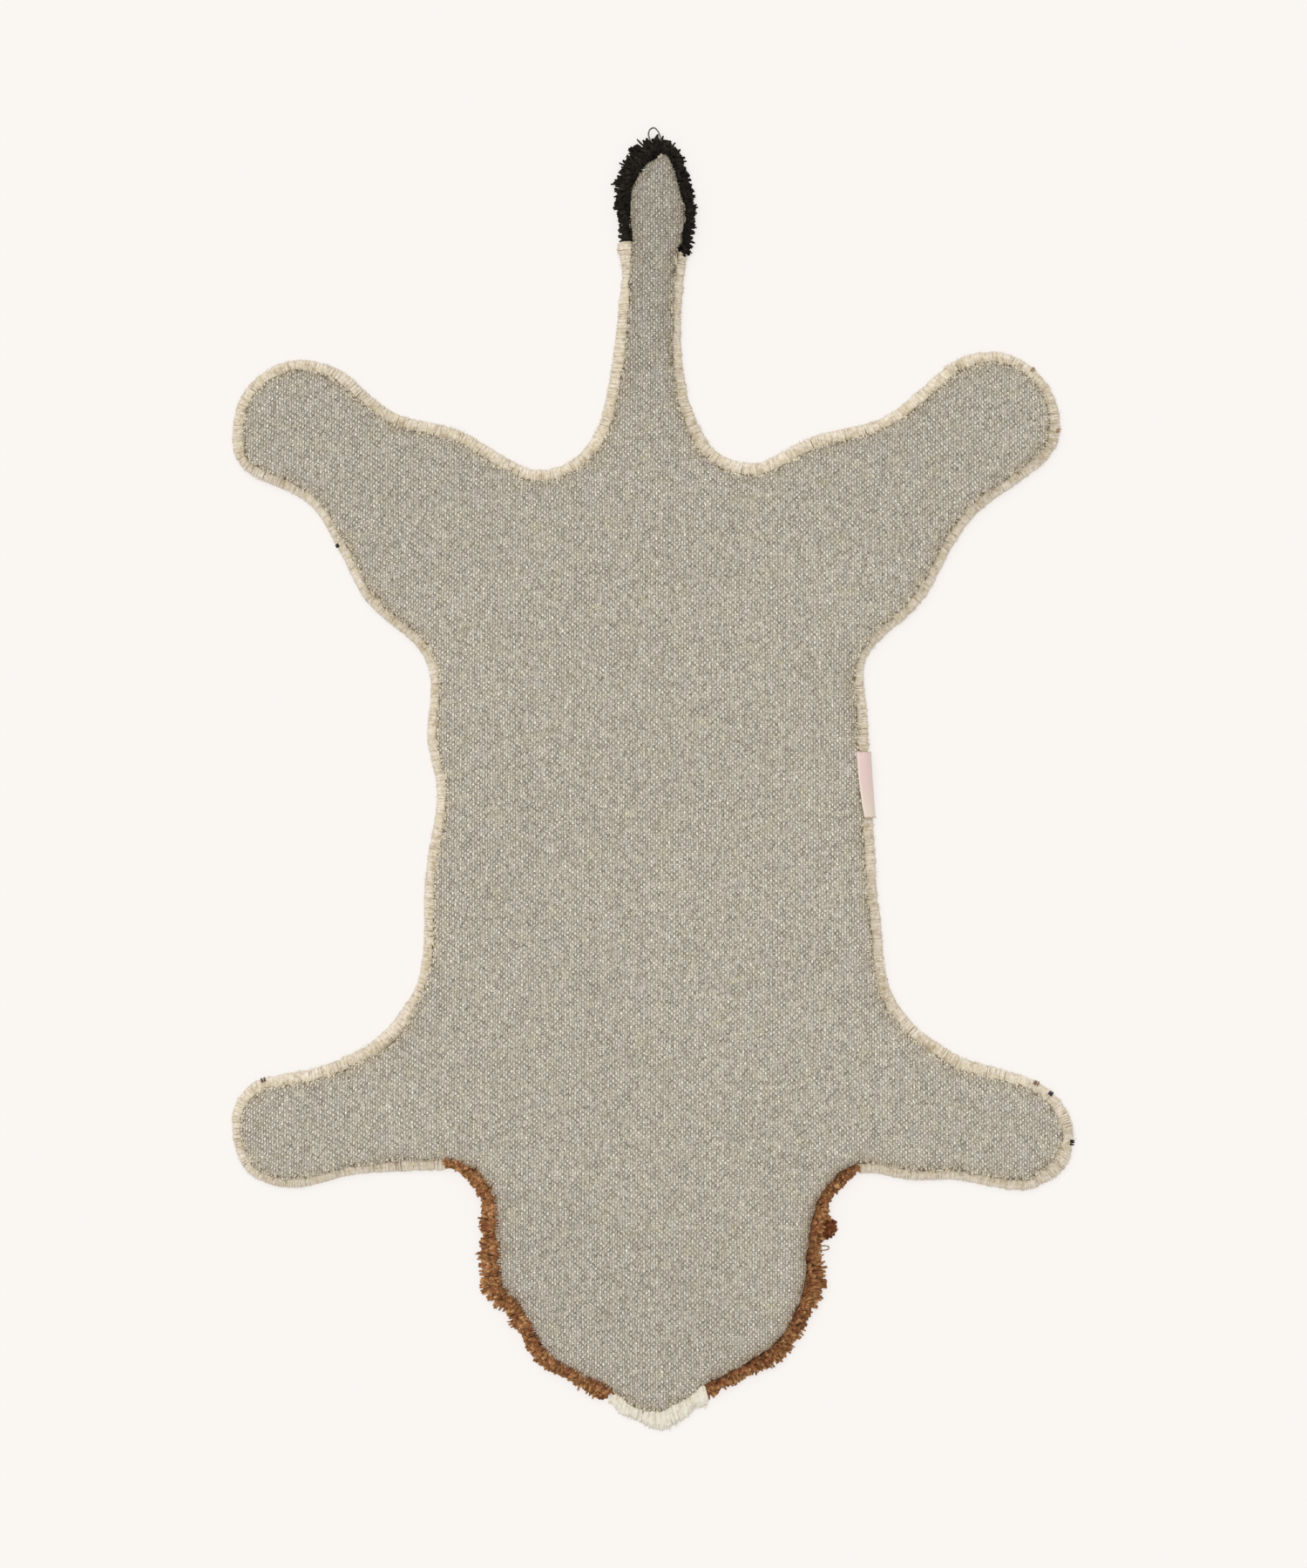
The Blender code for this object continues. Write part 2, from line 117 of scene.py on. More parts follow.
def upper_side(node):
    """A CAD sheet's upper side as points and triangles: those whose normal points up."""
    corners = corners_of(node)
    normal = np.cross(corners[:, 1] - corners[:, 0], corners[:, 2] - corners[:, 0])
    return joined(corners[normal[:, 2] > 0.5 * np.linalg.norm(normal, axis=1)])


def outline(triangles):
    """The sides that only one triangle has, joined end to end."""
    sides = np.concatenate([triangles[:, pair] for pair in ((0, 1), (1, 2), (2, 0))]).tolist()
    known = {tuple(side) for side in sides}
    following = {a: b for a, b in sides if (b, a) not in known}
    loop = [min(following)]
    while following[loop[-1]] != loop[0]:
        loop.append(following[loop[-1]])
    return loop


def smooth_loop(points, spacing):
    """Even points on a closed curve through the given ones. Between two of them it is the cubic
    whose slope at each end is the mean of the chords on both sides, weighted by nearness."""
    after = np.roll(points, -1, axis=0)
    length = np.linalg.norm(after - points, axis=1)[:, None]
    chord = (after - points) / length
    before = np.roll(length, 1)
    slope = (np.roll(chord, 1, axis=0) * length + chord * before) / (length + before)
    ends = np.cumsum(length)
    count = round(ends[-1] / spacing)
    at = np.arange(count) * ends[-1] / count
    span = np.searchsorted(ends, at, side="right")
    t = 1 - (ends[span] - at)[:, None] / length[span]
    rise, fall = slope[span] * length[span], np.roll(slope, -1, axis=0)[span] * length[span]
    return (
        points[span] * (1 + 2 * t) * (1 - t) ** 2
        + after[span] * t**2 * (3 - 2 * t)
        + rise * t * (1 - t) ** 2
        - fall * t**2 * (1 - t)
    )


def outward_of(loop):
    """Level unit vectors that point out of a loop which runs anticlockwise."""
    along = np.roll(loop, -3, axis=0) - np.roll(loop, 3, axis=0)
    along[:, 2] = 0
    along /= np.linalg.norm(along, axis=1)[:, None]
    return np.stack((along[:, 1], -along[:, 0], np.zeros(len(loop))), axis=1)


def inside(spots, polygon):
    """Even-odd rule, for all spots at once."""
    x, y = spots[:, 0, None], spots[:, 1, None]
    ax, ay = polygon[:, 0], polygon[:, 1]
    bx, by = np.roll(ax, -1), np.roll(ay, -1)
    rise = np.where(by == ay, 1e-12, by - ay)
    crossed = ((ay > y) != (by > y)) & (x < ax + (y - ay) * (bx - ax) / rise)
    return crossed.sum(axis=1) % 2 == 1


def nearest(spots, points):
    """For each spot the number of the nearest point and its distance, seen from above."""
    gap = np.hypot(spots[:, 0, None] - points[:, 0], spots[:, 1, None] - points[:, 1])
    closest = gap.argmin(axis=1)
    return closest, gap[np.arange(len(spots)), closest]


cloth_points, cloth_triangles = upper_side("backing_canvas")
cloth_loop = outline(cloth_triangles)
cloth_corners = cloth_points[cloth_loop]
rim_line = smooth_loop(cloth_corners, EDGE_SPACING)
rim_outward = outward_of(rim_line)
RIM_LENGTH = len(rim_line) * EDGE_SPACING
chance = np.random.default_rng(11)


def near(mark):
    """Bell curve round the rim: 1 at a marked place, falling with the square of the distance."""
    away = np.hypot(rim_line[:, 0] - mark.x * MM, rim_line[:, 1] - mark.y * MM)
    return np.exp(-((away / (mark.spread * MM)) ** 2))


rim_cut = sum(cut.out * MM * near(cut) for cut in CUTS)


def lie(spots):
    """Height of the cloth's upper side away from its edge: the mean of the CAD sheet's points,
    each weighted by a bell curve of its distance."""
    known = np.delete(cloth_points, cloth_loop, axis=0)
    away = np.hypot(spots[:, 0, None] - known[:, 0], spots[:, 1, None] - known[:, 1])
    weight = np.exp(-((away / LIE_SPREAD) ** 2)) + 1e-9
    return (weight * known[:, 2]).sum(axis=1) / weight.sum(axis=1)


def hexagon_grid(low, high, step):
    """Points of a grid of equal triangles over a rectangle, with each one's place in the grid."""
    rise = step * 0.75**0.5
    rows = np.arange(int((high[1] - low[1]) / rise) + 2)
    columns = np.arange(int((high[0] - low[0]) / step) + 2)
    column, row = np.meshgrid(columns, rows)
    place = np.stack((column.ravel(), row.ravel()), axis=1)
    x = low[0] + step * (place[:, 0] - 0.5 * (place[:, 1] % 2))
    return np.stack((x, low[1] + rise * place[:, 1]), axis=1), place


def fill_outline(loop, extra):
    """Triangles over the ground inside a loop, through all the extra points."""
    spots = np.concatenate((loop[:, :2], extra[:, :2]))
    sides = [(index, (index + 1) % len(loop)) for index in range(len(loop))]
    made = delaunay_2d_cdt(spots.tolist(), sides, [], 1, 1e-7)
    origin = np.array([sources[0] for sources in made[3]])
    return origin[np.array(made[2])]


def add_surface(name, spots, faces):
    """A smooth mesh piece from an array of points and an array of triangles."""
    mesh = bpy.data.meshes.new(name)
    mesh.vertices.add(len(spots))
    mesh.vertices.foreach_set("co", spots.ravel())
    mesh.loops.add(faces.size)
    mesh.loops.foreach_set("vertex_index", faces.ravel())
    mesh.polygons.add(len(faces))
    mesh.polygons.foreach_set("loop_start", np.arange(0, faces.size, 3))
    mesh.update(calc_edges=True)
    mesh.shade_smooth()
    piece = bpy.data.objects.new(name, mesh)
    bpy.context.scene.collection.objects.link(piece)
    return piece


def keep(piece, name, values):
    """Keep a number, or three, on each of a piece's points."""
    kind, field = ("FLOAT", "value") if values.ndim == 1 else ("FLOAT_VECTOR", "vector")
    piece.data.attributes.new(name, kind, "POINT").data.foreach_set(field, values.ravel())


def cloth_drop(inset):
    """How far the cloth lies below its middle: a soft slope, then a quarter round at the edge."""
    slope = EDGE_DROP * np.clip(1 - inset / EDGE_SLOPE, 0, 1) ** 2
    turn = np.clip(1 - inset / LIP_RADIUS, 0, 1)
    return slope + LIP_RADIUS * (1 - np.sqrt(1 - turn**2))


def canvas_surface():
    """The upper side is rings that follow the edge and a grid inside them. The edge is cut a little
    wide or short in places and ripples as a sum of sines. The under side is the same, one
    thickness lower, and a band of quads closes the edge."""
    steps = np.arange(len(rim_line)) * EDGE_SPACING / MM
    ripple = sum(
        size * np.sin(2 * np.pi * (steps * round(RIM_LENGTH / MM / wave) / steps[-1] + chance.random()))
        for wave, size in RIPPLES
    )
    wavy = rim_line + rim_outward * (ripple * MM + rim_cut)[:, None]
    rings, insets = [], []
    for inset in INSETS:
        ring = (wavy - rim_outward * inset * MM)[:: 1 if inset < 1 else 3]
        kept = nearest(ring, rim_line)[1] > 0.9 * inset * MM - 0.5 * MM if inset else slice(None)
        rings.append(ring[kept][:, :2])
        insets.append(np.full(len(rings[-1]), inset * MM))
    low, high = wavy[:, :2].min(axis=0), wavy[:, :2].max(axis=0)
    grid, _ = hexagon_grid(low, high, CLOTH_STEP)
    grid = grid[inside(grid, cloth_corners)]
    gap = nearest(grid, rim_line[::2])[1]
    clear = gap > CLOTH_MARGIN
    rings.append(grid[clear])
    insets.append(gap[clear])
    spots, inset = np.concatenate(rings), np.concatenate(insets)
    faces = fill_outline(rings[0], spots[len(rings[0]):])
    uneven = chance.normal(0, CLOTH_UNEVEN, len(spots)) * (inset > 0)
    height = lie(spots) - cloth_drop(inset) + uneven
    upper = np.column_stack((spots, height))
    lower = upper - (0, 0, CANVAS_THICKNESS)
    around = np.arange(len(rings[0]))
    after = np.roll(around, -1)
    total = len(spots)
    inset = np.concatenate((inset, inset))
    band = np.concatenate((
        np.stack((around + total, after + total, after), axis=1),
        np.stack((around + total, after, around), axis=1),
    ))
    spots, faces = np.concatenate((upper, lower)), np.concatenate((faces, faces[:, ::-1] + total, band))
    return spots, faces, inset


class Number:
    """A number that varies over a surface. Arithmetic on it adds Math nodes to its finish."""

    def __init__(self, finish, socket):
        self.finish, self.socket = finish, socket

    def math(self, operation, *others):
        return self.finish.node("Math", (self, *others), operation=operation)

    def __add__(self, other):
        return self.math("ADD", other)

    def __sub__(self, other):
        return self.math("SUBTRACT", other)

    def __rsub__(self, other):
        return self.finish.node("Math", (other, self), operation="SUBTRACT")

    def __mul__(self, other):
        return self.math("MULTIPLY", other)

    def __truediv__(self, other):
        return self.math("DIVIDE", other)

    def __pow__(self, other):
        return self.math("POWER", other)

    def __mod__(self, other):
        return self.math("FLOORED_MODULO", other)

    def floor(self):
        return self.math("FLOOR")

    def off_middle(self):
        """Distance from the middle of the whole step that the number lies in."""
        return (self.math("FRACT") - 0.5).math("ABSOLUTE")

    def ease(self, low, high):
        """From 0 to 1 as the number goes from low to high, with soft ends."""
        sockets = {"Value": self, "From Min": low, "From Max": high}
        return self.finish.node("MapRange", sockets, interpolation_type="SMOOTHSTEP")

    __radd__, __rmul__ = __add__, __mul__


class Finish:
    """A material made of a Principled shader and the nodes that feed it."""

    def __init__(self, name, **plain):
        self.material = bpy.data.materials.new(name)
        self.material.use_nodes = True
        self.tree = self.material.node_tree
        self.shader = self.tree.nodes["Principled BSDF"]
        for socket, value in plain.items():
            self.shader.inputs[socket.replace("_", " ")].default_value = value

    def node(self, kind, sockets, out=0, **settings):
        """Add a node, set it, and give its sockets their values or links."""
        made = self.tree.nodes.new("ShaderNode" + kind)
        for name, value in settings.items():
            setattr(made, name, value)
        for key, value in sockets.items() if isinstance(sockets, dict) else enumerate(sockets):
            if isinstance(value, Number):
                self.tree.links.new(value.socket, made.inputs[key])
            else:
                made.inputs[key].default_value = value
        return Number(self, made.outputs[out])

    def feed(self, socket, value):
        self.tree.links.new(value.socket, self.shader.inputs[socket])

    def place(self):
        """The surface point's x, y and z in metres, and all three as one vector."""
        spot = self.node("TexCoord", (), out="Object")
        return *(self.node("SeparateXYZ", (spot,), out=axis) for axis in "XYZ"), spot

    def noise(self, spot, size, detail=2.0):
        """Soft noise from about 0.2 to 0.8 whose lumps are about size across."""
        sockets = {"Vector": spot, "Scale": 1 / size, "Detail": detail, "Roughness": 0.55}
        return self.node("TexNoise", sockets)

    def dice(self, *numbers):
        """A random number from 0 to 1 for each set of whole numbers."""
        spot = self.node("CombineXYZ", numbers)
        return self.node("TexWhiteNoise", {"Vector": spot})

    def blend(self, factor, one, other):
        """From one colour to the other."""
        sockets = {0: factor, 6: one, 7: other}
        return self.node("Mix", sockets, out=2, data_type="RGBA")

    def tint(self, colour, factor):
        """A colour times a number."""
        return self.node("VectorMath", {0: colour, "Scale": factor}, operation="SCALE")

    def relief(self, height, depth):
        """Bump of a height from 0 to 1 that is depth metres deep."""
        sockets = {"Height": height, "Distance": depth, "Strength": 1.0}
        self.feed("Normal", self.node("Bump", sockets))


def shade(red, green, blue):
    """A colour as seen on a screen, from 0 to 255, as the shader's own numbers."""
    return (*Color((red / 255, green / 255, blue / 255)).from_srgb_to_scene_linear(), 1)


def canvas_finish():
    """A plain weave. Off-white warp shows as short upright floats, set brickwise, with grey-beige
    weft between them and a dark gap where four threads meet. The weft bows, threads wander a
    little, the loom's reed leaves faint upright bars, and the cloth is blotched softly. It is
    darker and browner in places towards its turned edge, with dark dots there that are partly
    fray and partly painted shade. Painted shade darkens it beside the shaggy yarn, tinted like
    that yarn, and over the narrow tail."""
    finish = Finish("canvas", Roughness=0.95, Sheen_Weight=0.1, Specular_IOR_Level=0.15)
    x, y, _, spot = finish.place()
    sway = finish.noise(spot, 38 * MM) - 0.5
    jitter = finish.noise(spot, 2.6 * MM, 1.0) - 0.5
    off_apex = x - BOW_APEX
    across = (x + sway * 1.6 * MM + jitter * 1.5 * MM) / WARP_PITCH
    column = across.floor()
    up = (y + off_apex * off_apex * WEFT_BOW - sway * 1.4 * MM - jitter * 2.4 * MM) / WEFT_PITCH
    up = up + (column % 2) * 0.5
    luck = finish.dice(column, up.floor(), 0.5)
    side, end = across.off_middle(), up.off_middle()
    warp = 1 - ((side / 0.50) ** 2 + (end / 0.36) ** 2).ease(0.2, 1.2)
    weft_luck = finish.dice(column, (up + 0.5).floor(), 7.5)
    gap = side.ease(0.22, 0.48) * (1 - ((end - 0.25).math("ABSOLUTE") / 0.2).ease(0.2, 1.0))
    gap_luck = finish.dice((across + 0.5).floor(), (up * 2).floor(), 3.5)
    fleck = finish.dice((across * 2.6).floor(), (up * 4.6).floor(), 1.5)
    grain = finish.noise(spot, 0.9 * MM)
    weft = finish.blend(weft_luck, shade(144, 135, 120), shade(184, 175, 159))
    colour = finish.blend(gap * (0.1 + gap_luck * 0.8), weft, shade(84, 76, 63))
    bright = finish.blend(luck, shade(204, 197, 182), shade(240, 235, 224))
    colour = finish.blend(warp * 0.62, colour, bright)
    inset = finish.node("Attribute", (), out="Fac", attribute_name="inset") / MM
    broken = finish.noise(spot, 24 * MM, 3.0)
    cast = finish.noise(spot, 14 * MM)
    colour = finish.blend(cast.ease(0.54, 0.76) * 0.20, colour, shade(200, 190, 146))
    colour = finish.blend((1 - cast.ease(0.26, 0.44)) * 0.16, colour, shade(196, 184, 192))
    # Darker and browner in broken patches within about 12 mm of the edge.
    browner_toward_edge = (1 - inset.ease(1, 12)) * (0.07 + broken.ease(0.36, 0.66) * 0.22)
    colour = finish.blend(browner_toward_edge, colour, shade(150, 126, 92))
    # Near the cut edge: dark dots, partly fray and partly painted shade in the seam under the edge, and
    # pale flecks of frayed thread.
    fray_and_seam_shade = 1 - inset.ease(0.6, 5.0)
    cut = finish.dice((across * 1.7).floor(), (up * 3.4).floor(), 2.5)
    colour = finish.blend(fray_and_seam_shade * (cut - 0.66).ease(0, 0.2), colour, shade(110, 94, 68))
    colour = finish.blend(fray_and_seam_shade * (0.42 - cut).ease(0, 0.25) * 0.85, colour, shade(221, 210, 182))
    dull = finish.noise(spot, 160 * MM)
    streak = finish.dice(column, 0.5, 0.5)
    # Darker towards the head and the tail. Over the narrow tail this is painted shade from the black yarn
    # round it.
    tail = y.ease(0.22, 0.42) * (1 - x.math("ABSOLUTE").ease(0.06, 0.11))
    zone = 1.02 - y.ease(0.05, 0.42) * 0.05 - tail * 0.14 - (0 - y).ease(0.25, 0.42) * 0.04
    reed = ((x + sway * 2.0 * MM) / REED_PITCH).off_middle()
    worn = 0.535 + dull * 0.10 + grain * 0.06 + fleck * 0.80 + streak * 0.02 + reed * 0.20
    colour = finish.tint(colour, zone * worn)
    # Painted shade on the canvas beside the shaggy yarn: near black beside the black yarn and dark brown
    # beside the rust.
    shaded = ((0 - inset) / 3.0).math("EXPONENT") * 0.9
    beside = finish.node("Attribute", (), out="Fac", attribute_name="beside")
    yarn_tint_shade = finish.blend(beside.ease(-0.1, 0.1), shade(34, 31, 28), shade(106, 66, 38))
    painted_yarn_shade = shaded * beside.math("ABSOLUTE") * (0.64 + beside * 0.12)
    finish.feed("Base Color", finish.blend(painted_yarn_shade, colour, yarn_tint_shade))
    finish.relief(warp * (0.6 + luck * 0.4) + (1 - gap) * 0.6, 0.5 * MM)
    return finish.material


canvas_spots, canvas_faces, canvas_inset = canvas_surface()
canvas = add_surface("canvas", canvas_spots, canvas_faces)
keep(canvas, "inset", canvas_inset)
canvas.data.materials.append(canvas_finish())
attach(canvas, "root")
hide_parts("backing_canvas")

# ---- The pile's rim
# Cut ends of yarn that was tufted through the canvas. At the edge they lean out from under it and
# bow down to the floor: cream on body and legs, black at the tail's end, rust on the mane,
# off-white on the muzzle. Cream lies in even bars. The other yarns are shaggy, short over long.

Yarn = namedtuple(
    "Yarn", "node slot light middle dark cast shadow sheen share bundle lean fall envelope lap rows"
)
# A row's reach is a share of the rim's width. Its depth under the canvas, the height of its
# tips, its pitch and its thickness are in millimetres.
Row = namedtuple("Row", "reach depth tip pitch thickness ragged")
SHAGGY_ROWS = (
    Row(0.20, -2.7, 9.6, 1.9, 2.2, 0.40),
    Row(0.38, -1.8, 8.4, 2.0, 2.8, 0.24),
    Row(0.55, -0.6, 6.8, 2.0, 2.9, 0.22),
    Row(0.70, 0.6, 5.2, 2.0, 2.9, 0.20),
    Row(0.82, 1.8, 3.7, 2.0, 2.9, 0.18),
    Row(0.90, 3.0, 2.2, 2.0, 2.8, 0.17),
    Row(0.90, 4.4, 1.2, 2.2, 2.4, 0.17),
    Row(0.93, 1.2, 3.4, 1.9, 1.7, 0.18),
    Row(0.97, 3.0, 1.6, 1.9, 1.5, 0.18),
)
YARNS = {
    "cream": Yarn(
        "pile_body", "pile_cream", (252, 244, 230), (230, 218, 198), (186, 168, 138), (220, 212, 172),
        shadow=0.90, sheen=0.1, share=0.94, bundle=4.4, lean=0.14, fall=0, envelope=8,
        lap=(3, 3), rows=(
            Row(1.00, -1.1, 3.4, 1.35, 1.5, 0.06),
            Row(0.98, -0.7, 2.9, 1.35, 1.5, 0.06),
            Row(0.96, 2.0, 1.2, 2.20, 2.0, 0.05),
            Row(1.05, 0.2, 2.6, 1.10, 0.45, 0.11),
        ),
    ),
    "black": Yarn(
        "pile_tail_tip", "pile_black", (56, 50, 43), (31, 27, 23), (12, 10, 9), (30, 24, 20),
        shadow=0.85, sheen=0.0, share=0.86, bundle=4.6, lean=2.2, fall=0, envelope=3,
        lap=(1.2, 1.0), rows=SHAGGY_ROWS,
    ),
    "rust": Yarn(
        "pile_mane", "pile_rust", (216, 168, 114), (143, 97, 60), (54, 30, 20), (150, 72, 52),
        shadow=0.92, sheen=0.0, share=0.885, bundle=4.6, lean=2.2, fall=0, envelope=3,
        lap=(3.8, -0.4), rows=SHAGGY_ROWS,
    ),
    "offwhite": Yarn(
        "pile_muzzle", "pile_offwhite", (255, 252, 242), (243, 236, 220), (224, 214, 192), (240, 228, 208),
        shadow=0.96, sheen=0.1, share=0.93, bundle=5.0, lean=0.3, fall=0.6, envelope=4,
        lap=(3, 3), rows=(
            Row(0.80, -1.1, 5.0, 1.3, 1.9, 0.10),
            Row(0.98, -0.5, 3.0, 1.3, 2.0, 0.08),
            Row(0.97, 1.0, 2.0, 1.3, 2.2, 0.08),
            Row(0.98, 2.4, 1.3, 1.6, 2.0, 0.08),
            Row(1.08, 0.6, 2.4, 1.3, 0.45, 0.10),
        ),
    ),
}
TUBE_STEPS = 6
TUBE_SIDES, FIBRE_SIDES = 5, 3
PLY_SWELL = 0.14
PLY_LENGTH = 6 * MM
# A row thinner than FIBRE is single fibres, and one less deep than LAPPING laps over the canvas.
FIBRE = 0.6
LAPPING = -1.5
LAP_LEFT, LAP_RIGHT = -60 * MM, 60 * MM
ROOT_INSET = 3.0 * MM
ROOT_GAP = 0.25 * MM
REACH_WINDOW = 5.0 * MM
REACH_LIMIT = 32.0 * MM
REACH_SHARES = (0.55, 1.3)
THICKNESS_SHARES = (0.85, 1.15)
OWN_RAGGED, BUNDLE_RAGGED = 0.45, 1.2
PLACE_JITTER = 0.22
FALL_POWER = 1.9
SWELL = ((0, 0.5, 0.85, 1), (0.85, 1.0, 1.12, 0.8))
SOFT_STEPS = 2
CHEEK = (-152 * MM, -289 * MM)
CHEEK_RADIUS = 7 * MM
SHADE_STEPS = 5
SHADE_STRIDE = 4
LABEL_MARGIN = 15 * MM
LABEL_PRESS = 0.12
# Where the shears left the pile short or full, as a share of its reach.
Trim = namedtuple("Trim", "place x y spread share")
TRIMS = (
    Trim("mane, where it starts on the left", -151, -290, 7, 0.60),
    Trim("mane, left cheek", -134, -304, 24, 0.88),
    Trim("mane, under the left cheek", -123, -317, 9, 0.76),
    Trim("mane, left side", -116, -360, 45, 0.89),
    Trim("mane, left bulge", -115, -385, 9, 1.1),
    Trim("mane, under the left bulge", -103, -401, 8, 0.75),
    Trim("mane, left jaw", -88, -427, 28, 0.82),
    Trim("mane, left of the muzzle", -64, -449, 9, 0.60),
    Trim("mane, beside the muzzle on the left", -43, -459, 8, 1.16),
    Trim("mane, beside the muzzle on the right", 50, -456, 7, 1.16),
    Trim("mane, right of the muzzle", 87, -434, 8, 1.12),
    Trim("mane, under the right bulge", 108, -407, 9, 0.86),
    Trim("mane, right bulge", 115, -387, 7, 1.08),
    Trim("mane, over the right bulge", 118, -366, 7, 0.82),
    Trim("mane, right neck", 120, -350, 20, 1.1),
    Trim("mane, above the neck", 127, -320, 12, 0.86),
    Trim("muzzle, right corner", 39, -462, 7, 1.3),
    Trim("muzzle, right half", 30, -468, 18, 1.12),
    Trim("muzzle, middle", -11, -481, 9, 0.72),
    Trim("right forepaw, lower corner", 305, -290, 13, 1.2),
    Trim("left flank over the foreleg", -177, -156, 18, 0.76),
    Trim("left hock", -250, 210, 24, 0.85),
    Trim("tail, left of the black", -16, 390, 24, 0.84),
    Trim("black, its left end", -16, 423, 7, 0.78),
    Trim("black, right side", 22, 430, 15, 1.13),
    Trim("black, right of the tip", 6, 484, 9, 1.12),
    Trim("tail, left of its tip", -16, 450, 26, 0.88),
    Trim("tail, right of the black", 15, 376, 30, 1.17),
    Trim("left of the tail's root", -60, 243, 24, 0.87),
    Trim("right of the tail's root", 66, 243, 30, 0.88),
    Trim("right thigh", 180, 278, 30, 0.88),
    Trim("right hind paw", 292, 285, 44, 1.1),
)


def pile_reach():
    """How far the solid pile stands past the canvas at each step of the rim: the furthest of its
    points within a short window along the edge. The yarn there is that of the closest point."""
    reach, closest = np.zeros(len(rim_line)), np.full(len(rim_line), np.inf)
    owner = np.zeros(len(rim_line), int)
    along = np.stack((-rim_outward[:, 1], rim_outward[:, 0]), axis=1)
    for number, yarn in enumerate(YARNS.values()):
        spots = corners_of(yarn.node).reshape(-1, 3)
        spots = np.unique(np.round(spots[:, :2], 5), axis=0)
        way = spots[None] - rim_line[:, None, :2]
        out = (way * rim_outward[:, None, :2]).sum(axis=2)
        beside = np.abs((way * along[:, None]).sum(axis=2))
        shown = (out > 2 * MM) & (out < REACH_LIMIT)
        gap = np.where(shown, beside, np.inf).min(axis=1)
        owner = np.where(gap < closest, number, owner)
        closest = np.minimum(gap, closest)
        reach = np.maximum(reach, np.where(shown & (beside < REACH_WINDOW), out, 0).max(axis=1))
    return reach, owner


def soften(values, steps):
    """Running mean round the rim."""
    wrapped = np.concatenate((values[-steps:], values, values[:steps]))
    return np.convolve(wrapped, np.ones(2 * steps + 1) / (2 * steps + 1), mode="valid")


def envelope(values, steps):
    """The highest value within so many steps round the rim, softened."""
    around = (np.arange(len(values))[:, None] + np.arange(-steps, steps + 1)) % len(values)
    return soften(values[around].max(axis=1), steps)


def tubes(paths, side, radii, turn, sides):
    """Closed tubes round many paths at once. Each ring is a circle drawn out a little across one
    diameter, which turns on along the tube as two plies do. A point at each end closes it."""
    count, steps, _ = paths.shape
    way = np.gradient(paths, axis=1)
    way /= np.linalg.norm(way, axis=2)[..., None]
    side = side[:, None] - (side[:, None] * way).sum(axis=2)[..., None] * way
    side /= np.linalg.norm(side, axis=2)[..., None]
    up = np.cross(side, way)
    angle = np.arange(sides) * 2 * np.pi / sides
    ply = np.cos(2 * (angle - turn[..., None]))
    ring = side[:, :, None] * np.cos(angle)[:, None] + up[:, :, None] * np.sin(angle)[:, None]
    walls = paths[:, :, None] + ring * (radii[..., None] * (1 + PLY_SWELL * ply))[..., None]
    ends = np.stack((paths[:, 0], paths[:, -1] + way[:, -1] * radii[:, -1:] * 0.5), axis=1)
    spots = np.concatenate((walls.reshape(count, -1, 3), ends), axis=1)
    here = np.arange(steps * sides).reshape(steps, sides)
    beyond = np.roll(here, -1, axis=1)
    first, last = steps * sides, steps * sides + 1
    one = np.concatenate((
        np.stack((here[:-1], here[1:], beyond[1:]), axis=2).reshape(-1, 3),
        np.stack((here[:-1], beyond[1:], beyond[:-1]), axis=2).reshape(-1, 3),
        np.stack((np.full(sides, first), here[0], beyond[0]), axis=1),
        np.stack((np.full(sides, last), beyond[-1], here[-1]), axis=1),
    ))
    faces = one[None] + (np.arange(count) * spots.shape[1])[:, None, None]
    share = np.append(np.linspace(0, 1, steps).repeat(sides), (0, 1))
    ply = np.concatenate((ply.reshape(count, -1), np.zeros((count, 2))), axis=1)
    return spots.reshape(-1, 3), faces.reshape(-1, 3), np.tile(share, count), ply.ravel()


def add_yarns(name, paths, side, radii, turn, tone, finish, sides=6):
    """Tubes as one piece. Their points keep each yarn's tone, the share of its length and its ply."""
    spots, faces, share, ply = tubes(paths, side, radii, turn, sides)
    piece = add_surface(name, spots, faces)
    keep(piece, "yarn", np.stack((np.repeat(tone, len(spots) // len(paths)), share, ply), axis=1))
    piece.data.materials.append(finish)
    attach(piece, "root")
    return piece


solid_reach, rim_owner = pile_reach()
at_cheek = np.hypot(rim_line[:, 0] - CHEEK[0], rim_line[:, 1] - CHEEK[1]) < CHEEK_RADIUS
rim_owner[at_cheek] = list(YARNS).index("rust")
rim_reach = np.zeros(len(rim_line))
for yarn_number, yarn in enumerate(YARNS.values()):
    own_reach = np.where(rim_owner == yarn_number, solid_reach, 0)
    own_reach = yarn.share * envelope(own_reach, yarn.envelope)
    rim_reach = np.where(rim_owner == yarn_number, own_reach, rim_reach)
rim_reach = soften(rim_reach, SOFT_STEPS)

# Shaggy yarn's painted shade on the canvas beside it, tinted like the yarn: 1 stands for rust
# and -1 for black.
SHADING_YARNS = {"black": -1, "rust": 1}
yarn_shading = np.array([SHADING_YARNS.get(yarn_name, 0) for yarn_name in YARNS])[rim_owner]
yarn_shading = soften(yarn_shading, SHADE_STEPS)[::SHADE_STRIDE]
upper_spots = canvas_spots[: len(canvas_spots) // 2]
keep(canvas, "beside", np.tile(yarn_shading[nearest(upper_spots, rim_line[::SHADE_STRIDE])[0]], 2))

for trim in TRIMS:
    rim_reach *= 1 + (trim.share - 1) * near(trim)

# The label's tape presses the pile down and back where it lies.
label_low, label_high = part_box("label")
beside_label = (rim_line[:, 0] > label_low[0] - LABEL_MARGIN) & (rim_line[:, 1] > label_low[1])
pressed = (beside_label & (rim_line[:, 1] < label_high[1])).astype(float)
rim_reach *= 1 - LABEL_PRESS * soften(pressed, SOFT_STEPS)


